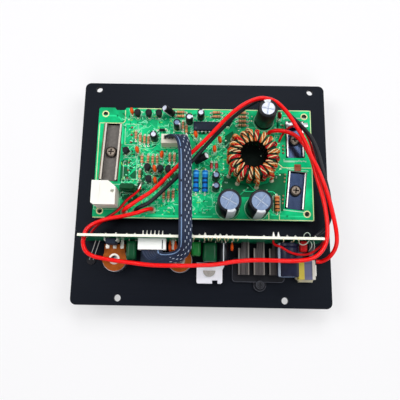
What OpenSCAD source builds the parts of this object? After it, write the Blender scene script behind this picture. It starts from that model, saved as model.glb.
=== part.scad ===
// Panel-mounted audio amplifier, seen from its inner side: +Z points away from the panel's inner face,
// +Y is the panel's upper edge, and the origin lies at the middle of the inner face.

/* [Panel] */
// Width of the panel
panel_w = 172; // [168:1:200]
// Height of the panel
panel_h = 157; // [152:1:190]
// Thickness of the panel
panel_t = 3; // [2:0.5:4]
// Radius of the panel's corners
panel_corner_r = 4; // [1:0.5:8]
// Spacing of the two upper fixing holes
upper_hole_span = 152; // [140:1:156]
// Spacing of the two lower fixing holes
lower_hole_span = 110; // [90:1:130]
// Distance of the fixing holes from the upper and lower edges
hole_inset = 4.8; // [4:0.1:7]
// Diameter of the fixing holes
panel_hole_d = 4.5; // [3:0.1:5.5]

/* [Main board] */
// Width of the main board
board_w = 147; // [144:1:156]
// Depth of the main board
board_h = 78; // [77:1:84]
// Thickness of both circuit boards
board_t = 1.6; // [1:0.1:2.4]
// Height of the spacers under the main board
spacer_h = 7; // [6.5:0.1:9]
// Distance of the board's corner holes from its edges
board_hole_inset = 4.7; // [4:0.1:6]
// Diameter of the board's corner holes
board_hole_d = 3.2; // [2:0.1:4]
// Outer diameter of the spacers
spacer_d = 5; // [4.4:0.1:5.6]

/* [Clamp bars] */
// Width of the clamp bars
bar_w = 11.4; // [9:0.1:12.5]
// Length of the left clamp bar
left_bar_l = 40; // [36:0.5:42]
// Length of the two right clamp bars
right_bar_l = 25; // [22:0.5:26]
// Thickness of the bars' sheet
bar_wall = 1.2; // [0.8:0.1:1.8]
// Thickness of the right bars' upstanding edges
right_rim_t = 0.8; // [0.6:0.1:1.4]
// Height of the bars' upstanding edges above their floor
bar_rim_h = 3.4; // [1:0.1:5]
// Diameter of the clamp screws' heads
screw_head_d = 7.6; // [6:0.1:8]
// Diameter of the clamp screws' shanks
screw_d = 4; // [3:0.1:4.5]
// Thickness of the insulating pads under the power devices
pad_t = 0.3; // [0.1:0.1:0.6]
// Thickness of the power devices
device_t = 4.6; // [4:0.1:5]

/* [Toroid] */
// Outer diameter of the ferrite ring
core_outer_d = 30.4; // [28:0.2:33]
// Inner diameter of the ferrite ring
core_inner_d = 20.6; // [18:0.2:22]
// Height of the ferrite ring
core_h = 11; // [8:0.5:14]
// Thickness of the winding round the ring
winding_t = 2.2; // [1.5:0.1:2.4]
// Width of one bundle of turns
bundle_w = 2.2; // [1.4:0.1:2.3]
// Number of bundles round the ring
bundle_count = 20; // [12:1:21]

/* [Capacitors] */
// Diameter of the two filter capacitors
filter_cap_d = 15; // [12:0.5:16]
// Height of the two filter capacitors
filter_cap_h = 24; // [16:0.5:30]
// Diameter of the supply capacitor
supply_cap_d = 12.6; // [10:0.2:13]
// Height of the supply capacitor
supply_cap_h = 23.4; // [16:0.2:26]
// Diameter of the small capacitors
small_cap_d = 5; // [4:0.1:5.4]
// Height of the small capacitors
small_cap_h = 9.5; // [7:0.5:12]

/* [Control board] */
// Length of the upright control board
control_w = 153; // [150:1:160]
// Height of the upright control board
control_h = 24; // [22:0.5:27]
// Gap between the control board's lower edge and the panel
control_gap = 2; // [1:0.5:3]
// Distance of the control board's front face below the panel's middle
control_drop = 36.5; // [35.5:0.1:36.6]

/* [Controls] */
// Diameter of the potentiometers' cans
pot_d = 16; // [14:0.5:16]
// Depth of the potentiometers' cans
pot_h = 7.6; // [6.5:0.1:9]
// Distance of the potentiometers' axes from the control board
pot_reach = 12.5; // [12:0.1:13]
// Diameter of the control shafts
shaft_d = 6; // [4:0.1:6]
// Diameter of the knobs
knob_d = 13; // [11:0.5:16]
// Height of the knobs
knob_h = 13; // [10:0.5:16]
// Travel of the phase switch to each side
switch_travel = 1.8; // [1:0.1:2]

/* [Sockets] */
// Length of the terminal block's flange
block_w = 34.6; // [34:0.2:38]
// Depth of the terminal block's flange
block_h = 16; // [15:0.2:17]
// Pitch of the three terminals
terminal_pitch = 10; // [9:0.1:10.5]
// Diameter of the input jack's metal barrel
jack_d = 8.3; // [7:0.1:9]
// Length of the input jack's barrel in front of the panel
jack_l = 9.5; // [7:0.5:12]

/* [Wires] */
// Diameter of the thick wires
thick_wire_d = 2.7; // [2:0.1:2.8]
// Diameter of the thin wires
thin_wire_d = 1.5; // [1:0.1:1.6]
// Thickness of the ribbon cable
ribbon_t = 1.2; // [0.8:0.1:1.4]

/* [Hidden] */
$fn = 48;
eps = 0.01;
fit = 0.05;
board_at = [0.5, 17];
board_top = spacer_h + board_t;
control_x = -0.8;
control_face = -control_drop;
control_back = control_face + board_t;
control_top = control_gap + control_h;
lead_d = 0.6;
pin_d = 1.2;
pin_hole_d = 1.8;
panel_front = -panel_t;

// Clamp bars: centre on the panel, length and turn in plan
bar_floor = pad_t + device_t;
upper_bar_drop = 21.3;
lower_bar_rise = 20.8;
left_bar_at = [board_at[0] - board_w / 2 + 9.9, board_at[1] + 7];
upper_bar_at = [board_at[0] + board_w / 2 - 11.4, board_at[1] + board_h / 2 - upper_bar_drop];
lower_bar_at = [board_at[0] + board_w / 2 - 11.6, board_at[1] - board_h / 2 + lower_bar_rise];
left_bar_turn = -2.5;
lower_bar_turn = -6;
bar_gap = 0.8;
bars = [
    [left_bar_at, left_bar_l, left_bar_turn],
    [upper_bar_at, right_bar_l, 0],
    [lower_bar_at, right_bar_l, lower_bar_turn]
];
screw_head_h = 2.6;

// Power devices: width, length, pitch of the pins, and the way the pins point
output_size = [15.6, 19];
output_pin_pitch = 5.4;
small_size = [10, 9.4];
small_pin_pitch = 2.5;
small_tab_l = 6;
tab_t = 1.3;
pin_reach = 3.5;
pin_stand = 0.8;
output_spread = left_bar_l / 2 - output_size[0] / 2 + 0.5;
small_spread = right_bar_l / 2 - small_size[0] / 2 - 0.1;

// Toroid
toroid_at = [32.9, 19.5];
core_mid = board_top + core_h / 2 + winding_t;
winding_clear = 0.15;
lead_angles = [102, 132, 217, 240, 279, 313];

// Upright round capacitors on the main board
left_filter_at = [16.6, -13.9];
right_filter_at = [36, -14];
supply_at = [41.3, 47.2];

// Parts that stand in rows on the main board
small_cap_spots = [[-18.1, 42.2], [-9.9, 46.4], [-2.1, 49.6], [-33.6, 33.6], [8.6, 6.3], [8.7, -0.9]];
leaning_cap_at = [-21.7, 51.2];
leaning_cap_tilt = [-6, -32, 0];
lying_cap_at = [-1.6, 19.5];
transistor_spots = [
    [-45.2, 50, 75], [-37.6, 50, 75], [-30.6, 50, 75], [-51.8, 22.9, 50], [-36.9, 11.6, 60],
    [-28.4, 10.8, 50], [-23, 10.6, 90], [-35.7, 3.7, 90], [-27.4, 2.2, 60], [17.1, 44.4, 60]
];
disc_spots = [
    [-49.5, 51.8, 90], [-44.6, 24.2, 90], [-27.9, 21.1, 70], [-32.3, 11.2, 90], [-31.7, 3, 90],
    [-5.4, 35.6, 90], [7.5, 25.7, 80], [10.9, 32.2, 90], [51.6, 50.3, 90]
];
resistor_spots = [
    [-16.2, 53, 0], [-16.2, 50, 0], [-14.4, 43.2, 90], [-12, 40.4, 90], [8.6, 53, 0], [8.6, 50, 0],
    [26.4, 53, 0], [26.4, 50, 0], [26.4, 47, 0], [26.4, 44, 0],
    [-46.4, 35.5, 90], [-43.4, 33.4, 90], [-40.4, 32.4, 90], [-37.7, 32.2, 90],
    [-41.5, 18.4, 90], [-37.4, 18.4, 90], [-34.2, 18.4, 90], [-31.2, 18.4, 90], [-22.7, 19.6, 90],
    [-19.6, 19.6, 90], [-42.7, 8, 90], [-26, -6.3, 90], [-22.8, -6, 90], [-19.7, -5.7, 90]
];
resistor_d = 2;
resistor_l = 5.2;
power_resistor_spots = [[-4.6, 3.5, 15, 4], [1.4, 3.5, 15, 4], [49.3, -11, 10.5, 3.4]];
diode_spots = [[5.6, 14.6, 90], [9, 14.6, 90], [-28.6, 39.7, 0]];
chip_at = [2.6, 42.1];
chip_size = [19.4, 6.4, 3.4];
chip_pins = 8;
chip_pitch = 2.54;
film_cap_at = [-49.6, -2.2];
film_cap_size = [10, 4.2, 9];

// Speaker socket and the ribbon cable's two plugs
socket_at = [board_at[0] - board_w / 2 + 9.2, -7.6];
socket_size = [15.6, 15.8, 13.4];
plug_size = [17.6, 6.4, 9];
plug_at = [-19.4, 30.8];
plug_pins = 6;
plug_pitch = 2.5;
control_plug_x = -31.4;
control_plug_z = 14;
control_plug_h = 6;
control_plug_l = 7;

// Controls along the control board
level_at = [-56.6, control_face - pot_reach];
frequency_at = [-14.2, control_face - pot_reach];
wafer_t = 1.4;
bushing_d = shaft_d + 1.4;
bushing_l = panel_t + 4.4;
nut_h = 2.2;
rotor_d = pot_d - 5;
rotor_t = 1.4;
knob_gap = 1;
knob_top = panel_front - (bushing_l - panel_t) - knob_gap;
shaft_in_knob = 9;

// Phase switch
switch_at = [-32.4, -47.6];
switch_size = [14.6, 7, 8.6];
slider_size = [5, 4.6, 1.6];
slider_nub = 3;
slider_out = 2.4;
slide_clear = 0.2;

// Parts on the control board's front face: x, height, width, length, thickness
control_film_parts = [[-45, 12, 6.4, 13, 9], [-3.6, 13, 6, 10, 9], [5.2, 12, 9.2, 13.4, 7]];
control_cap = [14.2, 13, 6, 12];
input_cap = [54.2, 17.2, 13.6, 21];
control_disc_spots = [[-20.4, 14, 6], [-16.8, 14, 6], [19.4, 13, 5]];
op_amp_size = [6.4, 9.4, 3.4];
op_amp_at = [-57.2, 17.6];
part_lead = 1.5;

// Jack, terminal block, fuse and lamp on the panel
jack_at = [3.4, -58.7];
jack_body_h = 7;
jack_bore_d = 3.4;
jack_left = 6.5;
jack_right = 10.2;
jack_foot = 4.8;
jack_head = 8.4;
jack_chamfer = 0.8;
jack_slot = [3.6, 7.2, 2.1];
jack_wing = [1.2, 4.5];
jack_plate_at = [1.6, 3.4];
jack_plate_d = 8;
jack_plate_t = 0.8;
block_at = [37.3, -54.2];
block_flange_t = 2.4;
block_out = 7;
ear_at = [block_at[0] + 1, block_at[1] - block_h / 2 - 1.6];
ear_r = 4.2;
ear_screw_d = 2.9;
lug_w = 7;
lug_t = 0.8;
lug_z = 8;
lug_notch = [2.1, 4];
lug_foot = block_at[1] - 3.4;
fuse_at = [68.2, control_face];
fuse_holder_size = [13, 25, 3.4];
fuse_size = [10.8, 12.4, 5];
fuse_set_back = 1.5;
lamp_at = [-73.6, -49.4];
lamp_d = 5;
wire_hole_d = thick_wire_d + 1.2;
wire_hole_at = [control_x - control_w / 2 + 3, 20];

// Routes of the wires, from their exits on the main board
wire_sides = 8;
wire_steps = 2;
long_red_route = [
    [-33.5, -16, 8.6], [-33.5, -16, 10.6], [-34.6, -16.5, 13.4], [-37.6, -17.7, 15.4], [-42, -19.5, 16],
    [-51.5, -22, 16], [-61, -24, 16.5], [-69, -27.5, 18], [-73.2, -31.5, 19.5], [-74.3, -35.7, 20],
    [-74.8, -40.5, 19.5], [-73, -45.2, 18.5], [-68.8, -48, 17.5], [-63, -49.3, 17], [-54, -50.7, 17],
    [-43.2, -52, 18], [-32.3, -53.2, 19.5], [-21, -53.5, 21], [-9.6, -53.4, 21.5], [-1, -53, 21.5],
    [8.8, -52.4, 21.5], [21.4, -50.2, 21.5], [34, -49.3, 22.5], [44, -49.5, 25], [54.2, -49.8, 26.4],
    [63, -49, 25], [69.4, -47, 23.5], [74, -43.5, 22.5], [77.1, -38.5, 22], [78.8, -32, 21],
    [79, -21.5, 20], [77.6, -8.7, 18.6], [73.5, 9, 17.6], [71.6, 17.5, 17.2], [68, 26, 17],
    [62.8, 33.5, 16.5], [57.5, 37, 15.5], [52, 38.6, 14.5], [47.5, 39, 12.8], [45, 38.8, 10.6],
    [45, 38.8, 8.6]
];
loop_red_route = [
    [-52, -18, 8.6], [-52, -18, 10.6], [-51.2, -17.5, 13.2], [-48.8, -16, 15.4], [-42, -11.4, 16.8],
    [-33, -5.5, 18], [-23.5, 4, 18.8], [-16.4, 11.4, 19.4], [-7.4, 20.4, 20.4], [1, 28.5, 21.5],
    [7.5, 35.2, 23], [15.8, 43.8, 25], [23.6, 50.3, 26], [31.5, 55, 26], [39, 57, 25.5],
    [46.8, 54.8, 25.5], [53, 49.3, 25], [57.7, 43.2, 24], [61, 38.2, 23], [64.2, 33, 22.3],
    [67.6, 26, 21.9], [70.5, 18, 21.6], [75, 8.5, 21.4], [80, -6.5, 21], [83.7, -21.5, 19.5],
    [85.8, -33, 17], [85.6, -40, 13.5], [82.5, -45.6, 9], [78.4, -48, 4.6], [74.7, -48, 4.6]
];
black_route = [
    [-44, -17, 8.6], [-44, -17, 10.6], [-43.2, -16.6, 13], [-40.6, -15.4, 15], [-34.5, -12.5, 15.8],
    [-26.5, -5.5, 17.6], [-18.7, 2.3, 17.8], [-12, 9.6, 17.6], [-6, 16.8, 17.4], [3, 27.6, 17.8],
    [12.6, 38.4, 18.6], [20.1, 45.8, 20], [27.5, 52, 20.8], [35, 57, 20.5], [41.5, 58.6, 20.5],
    [49, 56, 20.3], [57.5, 47.5, 19.8], [66, 39, 19.3], [71.3, 32.3, 18.8], [75.5, 22.4, 18],
    [78.5, 10.3, 17], [82.4, -5.6, 15], [83.6, -18.4, 11.5], [82.2, -24, 10], [79.4, -28, 9.2],
    [76.4, -30.4, 9], [74.4, -32, 9], [73.8, -33.6, 9], [73.8, -34.9, 9]
];
thin_red_route = [
    [51.8, 33.2, 8.6], [51.8, 33.2, 9.8], [52.3, 34.4, 11.4], [53.8, 37, 12.3], [57.5, 41, 13.4],
    [62, 42.2, 15], [66.5, 39.6, 15.4], [70, 34, 15], [73, 25, 14.4], [76, 12, 14], [79.6, -5, 13.4],
    [81, -19, 14], [81, -27.5, 15.5], [78.5, -35, 17.5], [73, -41, 18.4], [67.5, -44.5, 19.6],
    [61, -45.6, 23], [54.2, -44.4, 25.6], [48.8, -41, 24], [46.2, -39.6, 21.2], [45, -38, 20],
    [45, -36.5, 20]
];
pair_red_route = [
    [-40.6, 2, 8.6], [-40.6, 2, 10.2], [-40.7, 1, 12.2], [-41.2, -1, 13.4], [-42.8, -5, 14],
    [-49.5, -11, 14], [-55.2, -18, 13.6], [-62.5, -23.2, 12.6], [-68, -27.5, 12], [-71.4, -31.4, 11.6],
    [-72, -33.4, 11.5], [-72, -34.9, 11.5]
];
pair_black_route = [
    [-42.4, 2.6, 8.6], [-42.4, 2.6, 9.4], [-42.4, 1.6, 11], [-42.3, -0.6, 12], [-43.6, -4.6, 12.4],
    [-50.2, -10.4, 12.4], [-55.8, -17.3, 12], [-63, -22, 11], [-68.5, -26.4, 10.3], [-72.4, -30.6, 9.7],
    [-73, -33.4, 9.5], [-73, -34.9, 9.5]
];
// The ribbon's points also hold the way its width points in plan, and its width
ribbon_route = [
    [-19.4, 31.6, 17.6, 0, 13.7], [-19, 31.6, 20, 0, 13], [-17, 31, 24, 0, 10.5], [-14.4, 28, 28, 0, 8.6],
    [-12.4, 22.5, 30, 0, 8.4], [-11.5, 14, 31, 0, 8.4], [-11, -2, 31.5, 0, 8.4], [-10.5, -20, 31.5, 0, 8.4],
    [-10.2, -31, 31, 0, 8.4], [-10.2, -37, 30, 0, 8.4], [-10.3, -41, 27.5, -8, 8.4],
    [-11.8, -45, 23.5, -40, 8.2], [-16, -47.6, 19.5, -75, 7.6], [-21.5, -48.4, 17.8, -95, 7],
    [-26.5, -48.2, 17.2, -120, 7.6], [-29.8, -47, 17, -152, 10.8], [-31.4, -44.6, 17, -180, 13.4],
    [-31.4, -43.5, 17, -180, 13.7]
];

// Shared shapes
module rounded_rect(w, h, r) {
    square([w - 2 * r, h], center = true);
    square([w, h - 2 * r], center = true);
    for (sx = [-1, 1], sy = [-1, 1])
        translate([sx * (w / 2 - r), sy * (h / 2 - r)]) circle(r);
}

module block(size) {
    translate([-size[0] / 2, -size[1] / 2, 0]) cube(size);
}

// A straight round rod from p to q
module rod(p, q, d) {
    v = q - p;
    reach = norm(v);
    translate(p) rotate([0, acos(v[2] / reach), atan2(v[1], v[0])]) cylinder(d = d, h = reach);
}

// A round can with a rolled groove near its foot and a bevelled upper edge, standing on z = 0
module can(d, h) {
    bevel = d * 0.05;
    groove = d * 0.04;
    rotate_extrude() polygon([
        [0, 0], [d / 2 - bevel, 0], [d / 2, bevel], [d / 2, h * 0.1], [d / 2 - groove, h * 0.13],
        [d / 2, h * 0.16], [d / 2, h - bevel], [d / 2 - bevel, h], [0, h]
    ]);
}

module on_board(at) {
    translate([at[0], at[1], board_top]) children();
}

module at_bars(which) {
    for (i = which)
        translate([bars[i][0][0], bars[i][0][1], 0]) rotate(bars[i][2]) children();
}

module corner_spots() {
    for (sx = [-1, 1], sy = [-1, 1])
        translate([
            board_at[0] + sx * (board_w / 2 - board_hole_inset),
            board_at[1] + sy * (board_h / 2 - board_hole_inset), 0
        ]) children();
}

// Where the pins of the power devices come up, from the middle of each bar
output_pin_x = output_size[1] / 2 + pin_reach;
small_pin_x = -(small_size[1] / 2 + pin_reach);
module output_pin_spots() {
    at_bars([0]) for (s = [-1, 1], i = [-1, 0, 1])
        translate([output_pin_x, s * output_spread + i * output_pin_pitch, 0]) children();
}

module small_pin_spots(which) {
    at_bars(which) for (s = [-1, 1], i = [-1, 0, 1])
        translate([small_pin_x, s * small_spread + i * small_pin_pitch, 0]) children();
}

// Panel and boards
module panel() {
    color("#15171c") difference() {
        translate([0, 0, panel_front]) linear_extrude(panel_t) difference() {
            rounded_rect(panel_w, panel_h, panel_corner_r);
            for (s = [-1, 1]) {
                translate([s * upper_hole_span / 2, panel_h / 2 - hole_inset]) circle(d = panel_hole_d);
                translate([s * lower_hole_span / 2, hole_inset - panel_h / 2]) circle(d = panel_hole_d);
            }
            for (bar = bars) translate(bar[0]) circle(d = screw_d + 2 * fit);
            for (at = [level_at, frequency_at]) translate(at) circle(d = bushing_d + 2 * fit);
            translate(jack_at) circle(d = jack_d + 2 * fit);
            translate(lamp_at) circle(d = lamp_d + 2 * fit);
            translate(ear_at) circle(d = ear_screw_d + 2 * fit);
            translate(block_at) square([3 * terminal_pitch + 2 * fit, block_h - 5 + 2 * fit], center = true);
            translate(switch_at) square([
                slider_nub + 2 * switch_travel + 2 * slide_clear, slider_nub + 2 * slide_clear
            ], center = true);
        }
    }
}

module board_outline() {
    notch_x = board_at[0] - board_w / 2 + 15;
    notch_y = board_at[1] + board_h / 2;
    difference() {
        translate(board_at) rounded_rect(board_w, board_h, 1.5);
        translate([notch_x, notch_y]) polygon([[-4, 1], [-4, 0], [-2.6, -1.8], [2.6, -1.8], [4, 0], [4, 1]]);
        for (bar = bars)
            translate(bar[0]) rotate(bar[2])
                square([bar_w + 2 * bar_gap, bar[1] + 2 * bar_gap], center = true);
    }
}

module main_board() {
    color("#0bb673") difference() {
        translate([0, 0, spacer_h]) linear_extrude(board_t) board_outline();
        corner_spots() cylinder(d = board_hole_d, h = board_top + 1);
        output_pin_spots() cylinder(d = pin_hole_d, h = board_top + 1);
        small_pin_spots([1, 2]) cylinder(d = pin_hole_d, h = board_top + 1);
    }
}

module control_board() {
    color("#0ba566") difference() {
        translate([control_x - control_w / 2, control_face, control_gap])
            cube([control_w, board_t, control_h]);
        translate([wire_hole_at[0], control_face - 1, wire_hole_at[1]])
            rotate([-90, 0, 0]) cylinder(d = wire_hole_d, h = board_t + 2);
    }
}

module board_spacers() {
    color("#d8d8d2") corner_spots() difference() {
        cylinder(d = spacer_d, h = spacer_h);
        translate([0, 0, -1]) cylinder(d = board_hole_d, h = spacer_h + 2);
    }
}

// Power devices, clamped flat on the panel
module bar_shape(l, rim_t) {
    translate([0, 0, bar_floor]) difference() {
        block([bar_w, l, bar_wall + bar_rim_h]);
        translate([0, 0, bar_wall]) block([bar_w - 2 * rim_t, l + 2, bar_rim_h + 1]);
        translate([0, 0, -1]) cylinder(d = screw_d + 0.4, h = bar_wall + 2);
    }
}

module left_clamp_bar() {
    color("#6b6764") at_bars([0]) bar_shape(left_bar_l, bar_wall);
}

module right_clamp_bars() {
    color("#8a93a3") at_bars([1, 2]) bar_shape(right_bar_l, right_rim_t);
}

module clamp_screws() {
    color("#9c9a94") at_bars([0, 1, 2]) difference() {
        union() {
            translate([0, 0, panel_front]) cylinder(d = screw_d, h = panel_t + bar_floor + bar_wall);
            translate([0, 0, bar_floor + bar_wall]) cylinder(d = screw_head_d, h = screw_head_h * 0.6);
            translate([0, 0, bar_floor + bar_wall + screw_head_h * 0.6])
                cylinder(d1 = screw_head_d, d2 = screw_head_d * 0.7, h = screw_head_h * 0.4);
        }
        for (a = [0, 90])
            rotate(a) translate([0, 0, bar_floor + bar_wall + screw_head_h * 0.5])
                block([screw_head_d * 0.53, 0.9, screw_head_h]);
    }
}

// Three bent pins from a device's end up through the board, drawn from the device's middle
module device_pins(reach, pitch, end) {
    pin_z = pad_t + device_t / 2;
    for (i = [-1, 0, 1]) translate([0, i * pitch, 0]) {
        rod([end, 0, pin_z], [reach, 0, pin_z], pin_d);
        translate([reach, 0, pin_z]) sphere(d = pin_d);
        translate([reach, 0, pin_z]) cylinder(d = pin_d, h = board_top + pin_stand - pin_z);
    }
}

module output_transistors() {
    color("#23262b") at_bars([0]) for (s = [-1, 1]) translate([0, s * output_spread, 0]) {
        translate([0, 0, pad_t]) difference() {
            block([output_size[1], output_size[0], device_t]);
            translate([-output_size[1] * 0.3, 0, device_t - 0.8]) cylinder(d = output_size[0] * 0.22, h = 2);
        }
        device_pins(output_pin_x, output_pin_pitch, output_size[1] / 2 - eps);
    }
}

module small_devices(which) {
    at_bars(which) for (s = [-1, 1]) translate([0, s * small_spread, 0]) {
        translate([0, 0, pad_t]) block([small_size[1], small_size[0], device_t]);
        translate([small_size[1] / 2 + small_tab_l / 2 - eps, 0, pad_t]) difference() {
            block([small_tab_l, small_size[0], tab_t]);
            translate([0, 0, -1]) cylinder(d = small_tab_l * 0.6, h = tab_t + 2);
        }
        device_pins(small_pin_x, small_pin_pitch, eps - small_size[1] / 2);
    }
}

module switching_transistors() {
    color("#23262b") small_devices([1]);
}

module rectifiers() {
    color("#23262b") small_devices([2]);
}

module insulating_pads() {
    color("#c9c4b4") {
        at_bars([0]) for (s = [-1, 1]) translate([0, s * output_spread, 0])
            block([output_size[1], output_size[0], pad_t]);
        at_bars([1, 2]) for (s = [-1, 1]) translate([small_tab_l / 2, s * small_spread, 0])
            block([small_size[1] + small_tab_l, small_size[0], pad_t]);
    }
}

// Toroid: a ring of ferrite with bundles of wire round its section
module toroid_core() {
    edge = 0.8;
    color("#1f6b45") translate([toroid_at[0], toroid_at[1], core_mid]) rotate_extrude() polygon([
        [core_inner_d / 2, edge - core_h / 2], [core_inner_d / 2 + edge, -core_h / 2],
        [core_outer_d / 2 - edge, -core_h / 2], [core_outer_d / 2, edge - core_h / 2],
        [core_outer_d / 2, core_h / 2 - edge], [core_outer_d / 2 - edge, core_h / 2],
        [core_inner_d / 2 + edge, core_h / 2], [core_inner_d / 2, core_h / 2 - edge]
    ]);
}

module bundle() {
    inner_x = core_inner_d / 2 - winding_clear;
    section_w = (core_outer_d - core_inner_d) / 2 + 2 * winding_clear;
    section_h = core_h;
    translate([inner_x + section_w / 2, bundle_w / 2, 0]) rotate([90, 0, 0])
        linear_extrude(bundle_w) difference() {
            rounded_rect(section_w + 2 * winding_t, section_h + 2 * winding_t, winding_t);
            square([section_w, section_h], center = true);
        }
}

module bundles(first) {
    translate([toroid_at[0], toroid_at[1], core_mid])
        for (i = [0 : bundle_count - 1]) if ((i % 3 == 1) == first)
            rotate(i * 360 / bundle_count + 9) bundle();
}

module copper_winding() {
    color("#d9823a") bundles(false);
}

module red_winding() {
    color("#b3222a") bundles(true);
}

module winding_leads() {
    lead_r = core_outer_d / 2 + winding_clear + winding_t;
    lead_z = board_top + 1.6;
    color("#d6d3c8") translate([toroid_at[0], toroid_at[1], 0]) for (a = lead_angles) rotate(a) {
        rod([lead_r + 0.1, 0, lead_z], [lead_r + 1.8, 0, lead_z], 1.4);
        translate([lead_r + 1.8, 0, board_top]) cylinder(d1 = 2.6, d2 = 1.4, h = lead_z - board_top + 0.7);
    }
}

// Round capacitors
module left_filter_capacitor() {
    color("#16181c") on_board(left_filter_at) can(filter_cap_d, filter_cap_h);
}

module right_filter_capacitor() {
    color("#16181c") on_board(right_filter_at) can(filter_cap_d, filter_cap_h);
}

module supply_capacitor() {
    color("#16181c") on_board(supply_at) can(supply_cap_d, supply_cap_h);
}

module small_capacitors() {
    lean_foot = small_cap_d / 2 * sin(abs(leaning_cap_tilt[1])) + 0.6;
    lean_lead = (lean_foot - lead_d / 2) / cos(leaning_cap_tilt[1]);
    color("#1c1f24") {
        for (at = small_cap_spots) on_board(at) can(small_cap_d, small_cap_h);
        on_board(leaning_cap_at) translate([0, 0, lean_foot]) rotate(leaning_cap_tilt) {
            can(small_cap_d, small_cap_h);
            for (s = [-1, 1]) translate([0, s, -lean_lead]) cylinder(d = lead_d, h = lean_lead + eps);
        }
        on_board(lying_cap_at) translate([small_cap_h / 2, 0, small_cap_d / 2])
            rotate([0, -90, 20]) translate([0, 0, -1]) can(small_cap_d, small_cap_h);
    }
}

// Small parts on wire legs
module legs(spots, h) {
    for (x = spots) translate([x, 0, 0]) cylinder(d = lead_d, h = h + eps);
}

module ceramic_capacitors() {
    disc_d = 5;
    disc_t = 2;
    disc_lift = 2;
    color("#f0611d") for (spot = disc_spots) on_board(spot) rotate(spot[2]) {
        translate([0, disc_t / 2, disc_lift + disc_d / 2]) rotate([90, 0, 0])
            cylinder(d = disc_d, h = disc_t);
        legs([-1.3, 1.3], disc_lift + 0.5);
    }
}

module signal_transistors() {
    body_d = 4.6;
    body_h = 4.6;
    lift = 3;
    color("#16181b") for (spot = transistor_spots) on_board(spot) rotate(spot[2]) {
        translate([0, 0, lift]) difference() {
            cylinder(d = body_d, h = body_h);
            translate([0, -body_d, body_h / 2]) cube([2 * body_d, body_d + 1.6, 2 * body_h], center = true);
        }
        legs([-1.27, 0, 1.27], lift);
    }
}

// A round part that lies along x on two bent leads
module lying_part(d, l, lift) {
    overhang = 1.2;
    axis_z = lift + d / 2;
    translate([-l / 2, 0, axis_z]) rotate([0, 90, 0]) cylinder(d = d, h = l);
    for (s = [-1, 1]) {
        rod([s * (l / 2 - eps), 0, axis_z], [s * (l / 2 + overhang), 0, axis_z], lead_d);
        translate([s * (l / 2 + overhang), 0, axis_z]) sphere(d = lead_d);
        translate([s * (l / 2 + overhang), 0, 0]) cylinder(d = lead_d, h = axis_z);
    }
}

module small_resistors() {
    color("#d8a066") for (spot = resistor_spots) on_board(spot) rotate(spot[2])
        lying_part(resistor_d, resistor_l, 0.3);
}

module power_resistors() {
    color("#1466b4") for (spot = power_resistor_spots) on_board(spot) rotate(90)
        lying_part(spot[3], spot[2], 0.5);
}

module diodes() {
    color("#a3202a") for (spot = diode_spots) on_board(spot) rotate(spot[2]) lying_part(1.9, 3.9, 0.3);
}

// A dual-in-line package with its two rows of pins, standing on z = 0
module dual_in_line(size, pins) {
    stand = 0.6;
    row_gap = 0.7;
    pin_w = 0.6;
    translate([0, 0, stand]) difference() {
        block(size);
        translate([-size[0] / 2, 0, size[2] - 0.5]) cylinder(d = 2, h = 1);
    }
    for (s = [-1, 1], i = [0 : pins - 1])
        translate([(i - (pins - 1) / 2) * chip_pitch, s * (size[1] / 2 + row_gap), 0]) {
            block([pin_w, 0.3, stand + size[2] / 2]);
            translate([0, -s * row_gap / 2, stand + size[2] / 2 - 0.3]) block([pin_w, row_gap + 0.3, 0.3]);
        }
}

module controller_chip() {
    color("#272f3a") on_board(chip_at) dual_in_line(chip_size, chip_pins);
}

module film_capacitor() {
    color("#10482b") on_board(film_cap_at) linear_extrude(film_cap_size[2])
        rounded_rect(film_cap_size[0], film_cap_size[1], 2);
}

// White moulded connectors
module speaker_socket() {
    w = socket_size[0];
    h = socket_size[1];
    chamfer = 5;
    color("#f4f2ec") on_board(socket_at) difference() {
        linear_extrude(socket_size[2]) polygon([
            [-w / 2, -h / 2 + 1.2], [-w / 2 + 1.6, -h / 2], [w / 2, -h / 2],
            [w / 2, h / 2 - chamfer + 1], [w / 2 - chamfer, h / 2], [-w / 2, h / 2]
        ]);
        translate([-w / 2 + 5.6, 0, socket_size[2] - 0.5]) block([0.6, h - 3, 1]);
        translate([w / 2 - 2, 1, socket_size[2] - 3]) cylinder(d = 2.4, h = 4);
    }
}

module ribbon_plug() {
    cell = plug_pitch - 0.7;
    color("#e9e4d2") on_board(plug_at) difference() {
        block(plug_size);
        for (i = [0 : plug_pins - 1])
            translate([(i - (plug_pins - 1) / 2) * plug_pitch, 0.8, plug_size[2] - 2]) block([cell, 3, 3]);
    }
}

module control_plug() {
    cell = plug_pitch - 0.7;
    color("#fbfaf6") translate([control_plug_x, control_face, control_plug_z]) {
        difference() {
            translate([-plug_size[0] / 2, -control_plug_l, 0])
                cube([plug_size[0], control_plug_l, control_plug_h]);
            for (i = [0 : plug_pins - 1])
                translate([(i - (plug_pins - 1) / 2) * plug_pitch, -control_plug_l, control_plug_h / 2])
                    cube([cell, 3, 2.4], center = true);
        }
        for (i = [0 : plug_pins - 1])
            translate([(i - (plug_pins - 1) / 2) * plug_pitch, board_t, control_plug_h / 2])
                rotate([-90, 0, 0]) cylinder(d1 = 1.9, d2 = 0.7, h = 2.2);
    }
}

// Potentiometers: can and bushing, wafer, terminals, nut, shaft with its rotor, and knob
module at_pots() {
    for (at = [level_at, frequency_at]) translate([at[0], at[1], 0]) children();
}

module pot_cans() {
    wall = 0.8;
    color("#b9bcc0") at_pots() difference() {
        union() {
            cylinder(d = pot_d, h = pot_h);
            translate([0, 0, -bushing_l]) cylinder(d = bushing_d, h = bushing_l + eps);
        }
        translate([0, 0, 1.6]) cylinder(d = pot_d - 2 * wall, h = pot_h);
        translate([0, 0, -bushing_l - 1]) cylinder(d = shaft_d + 2 * fit, h = bushing_l + 4);
    }
}

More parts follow.
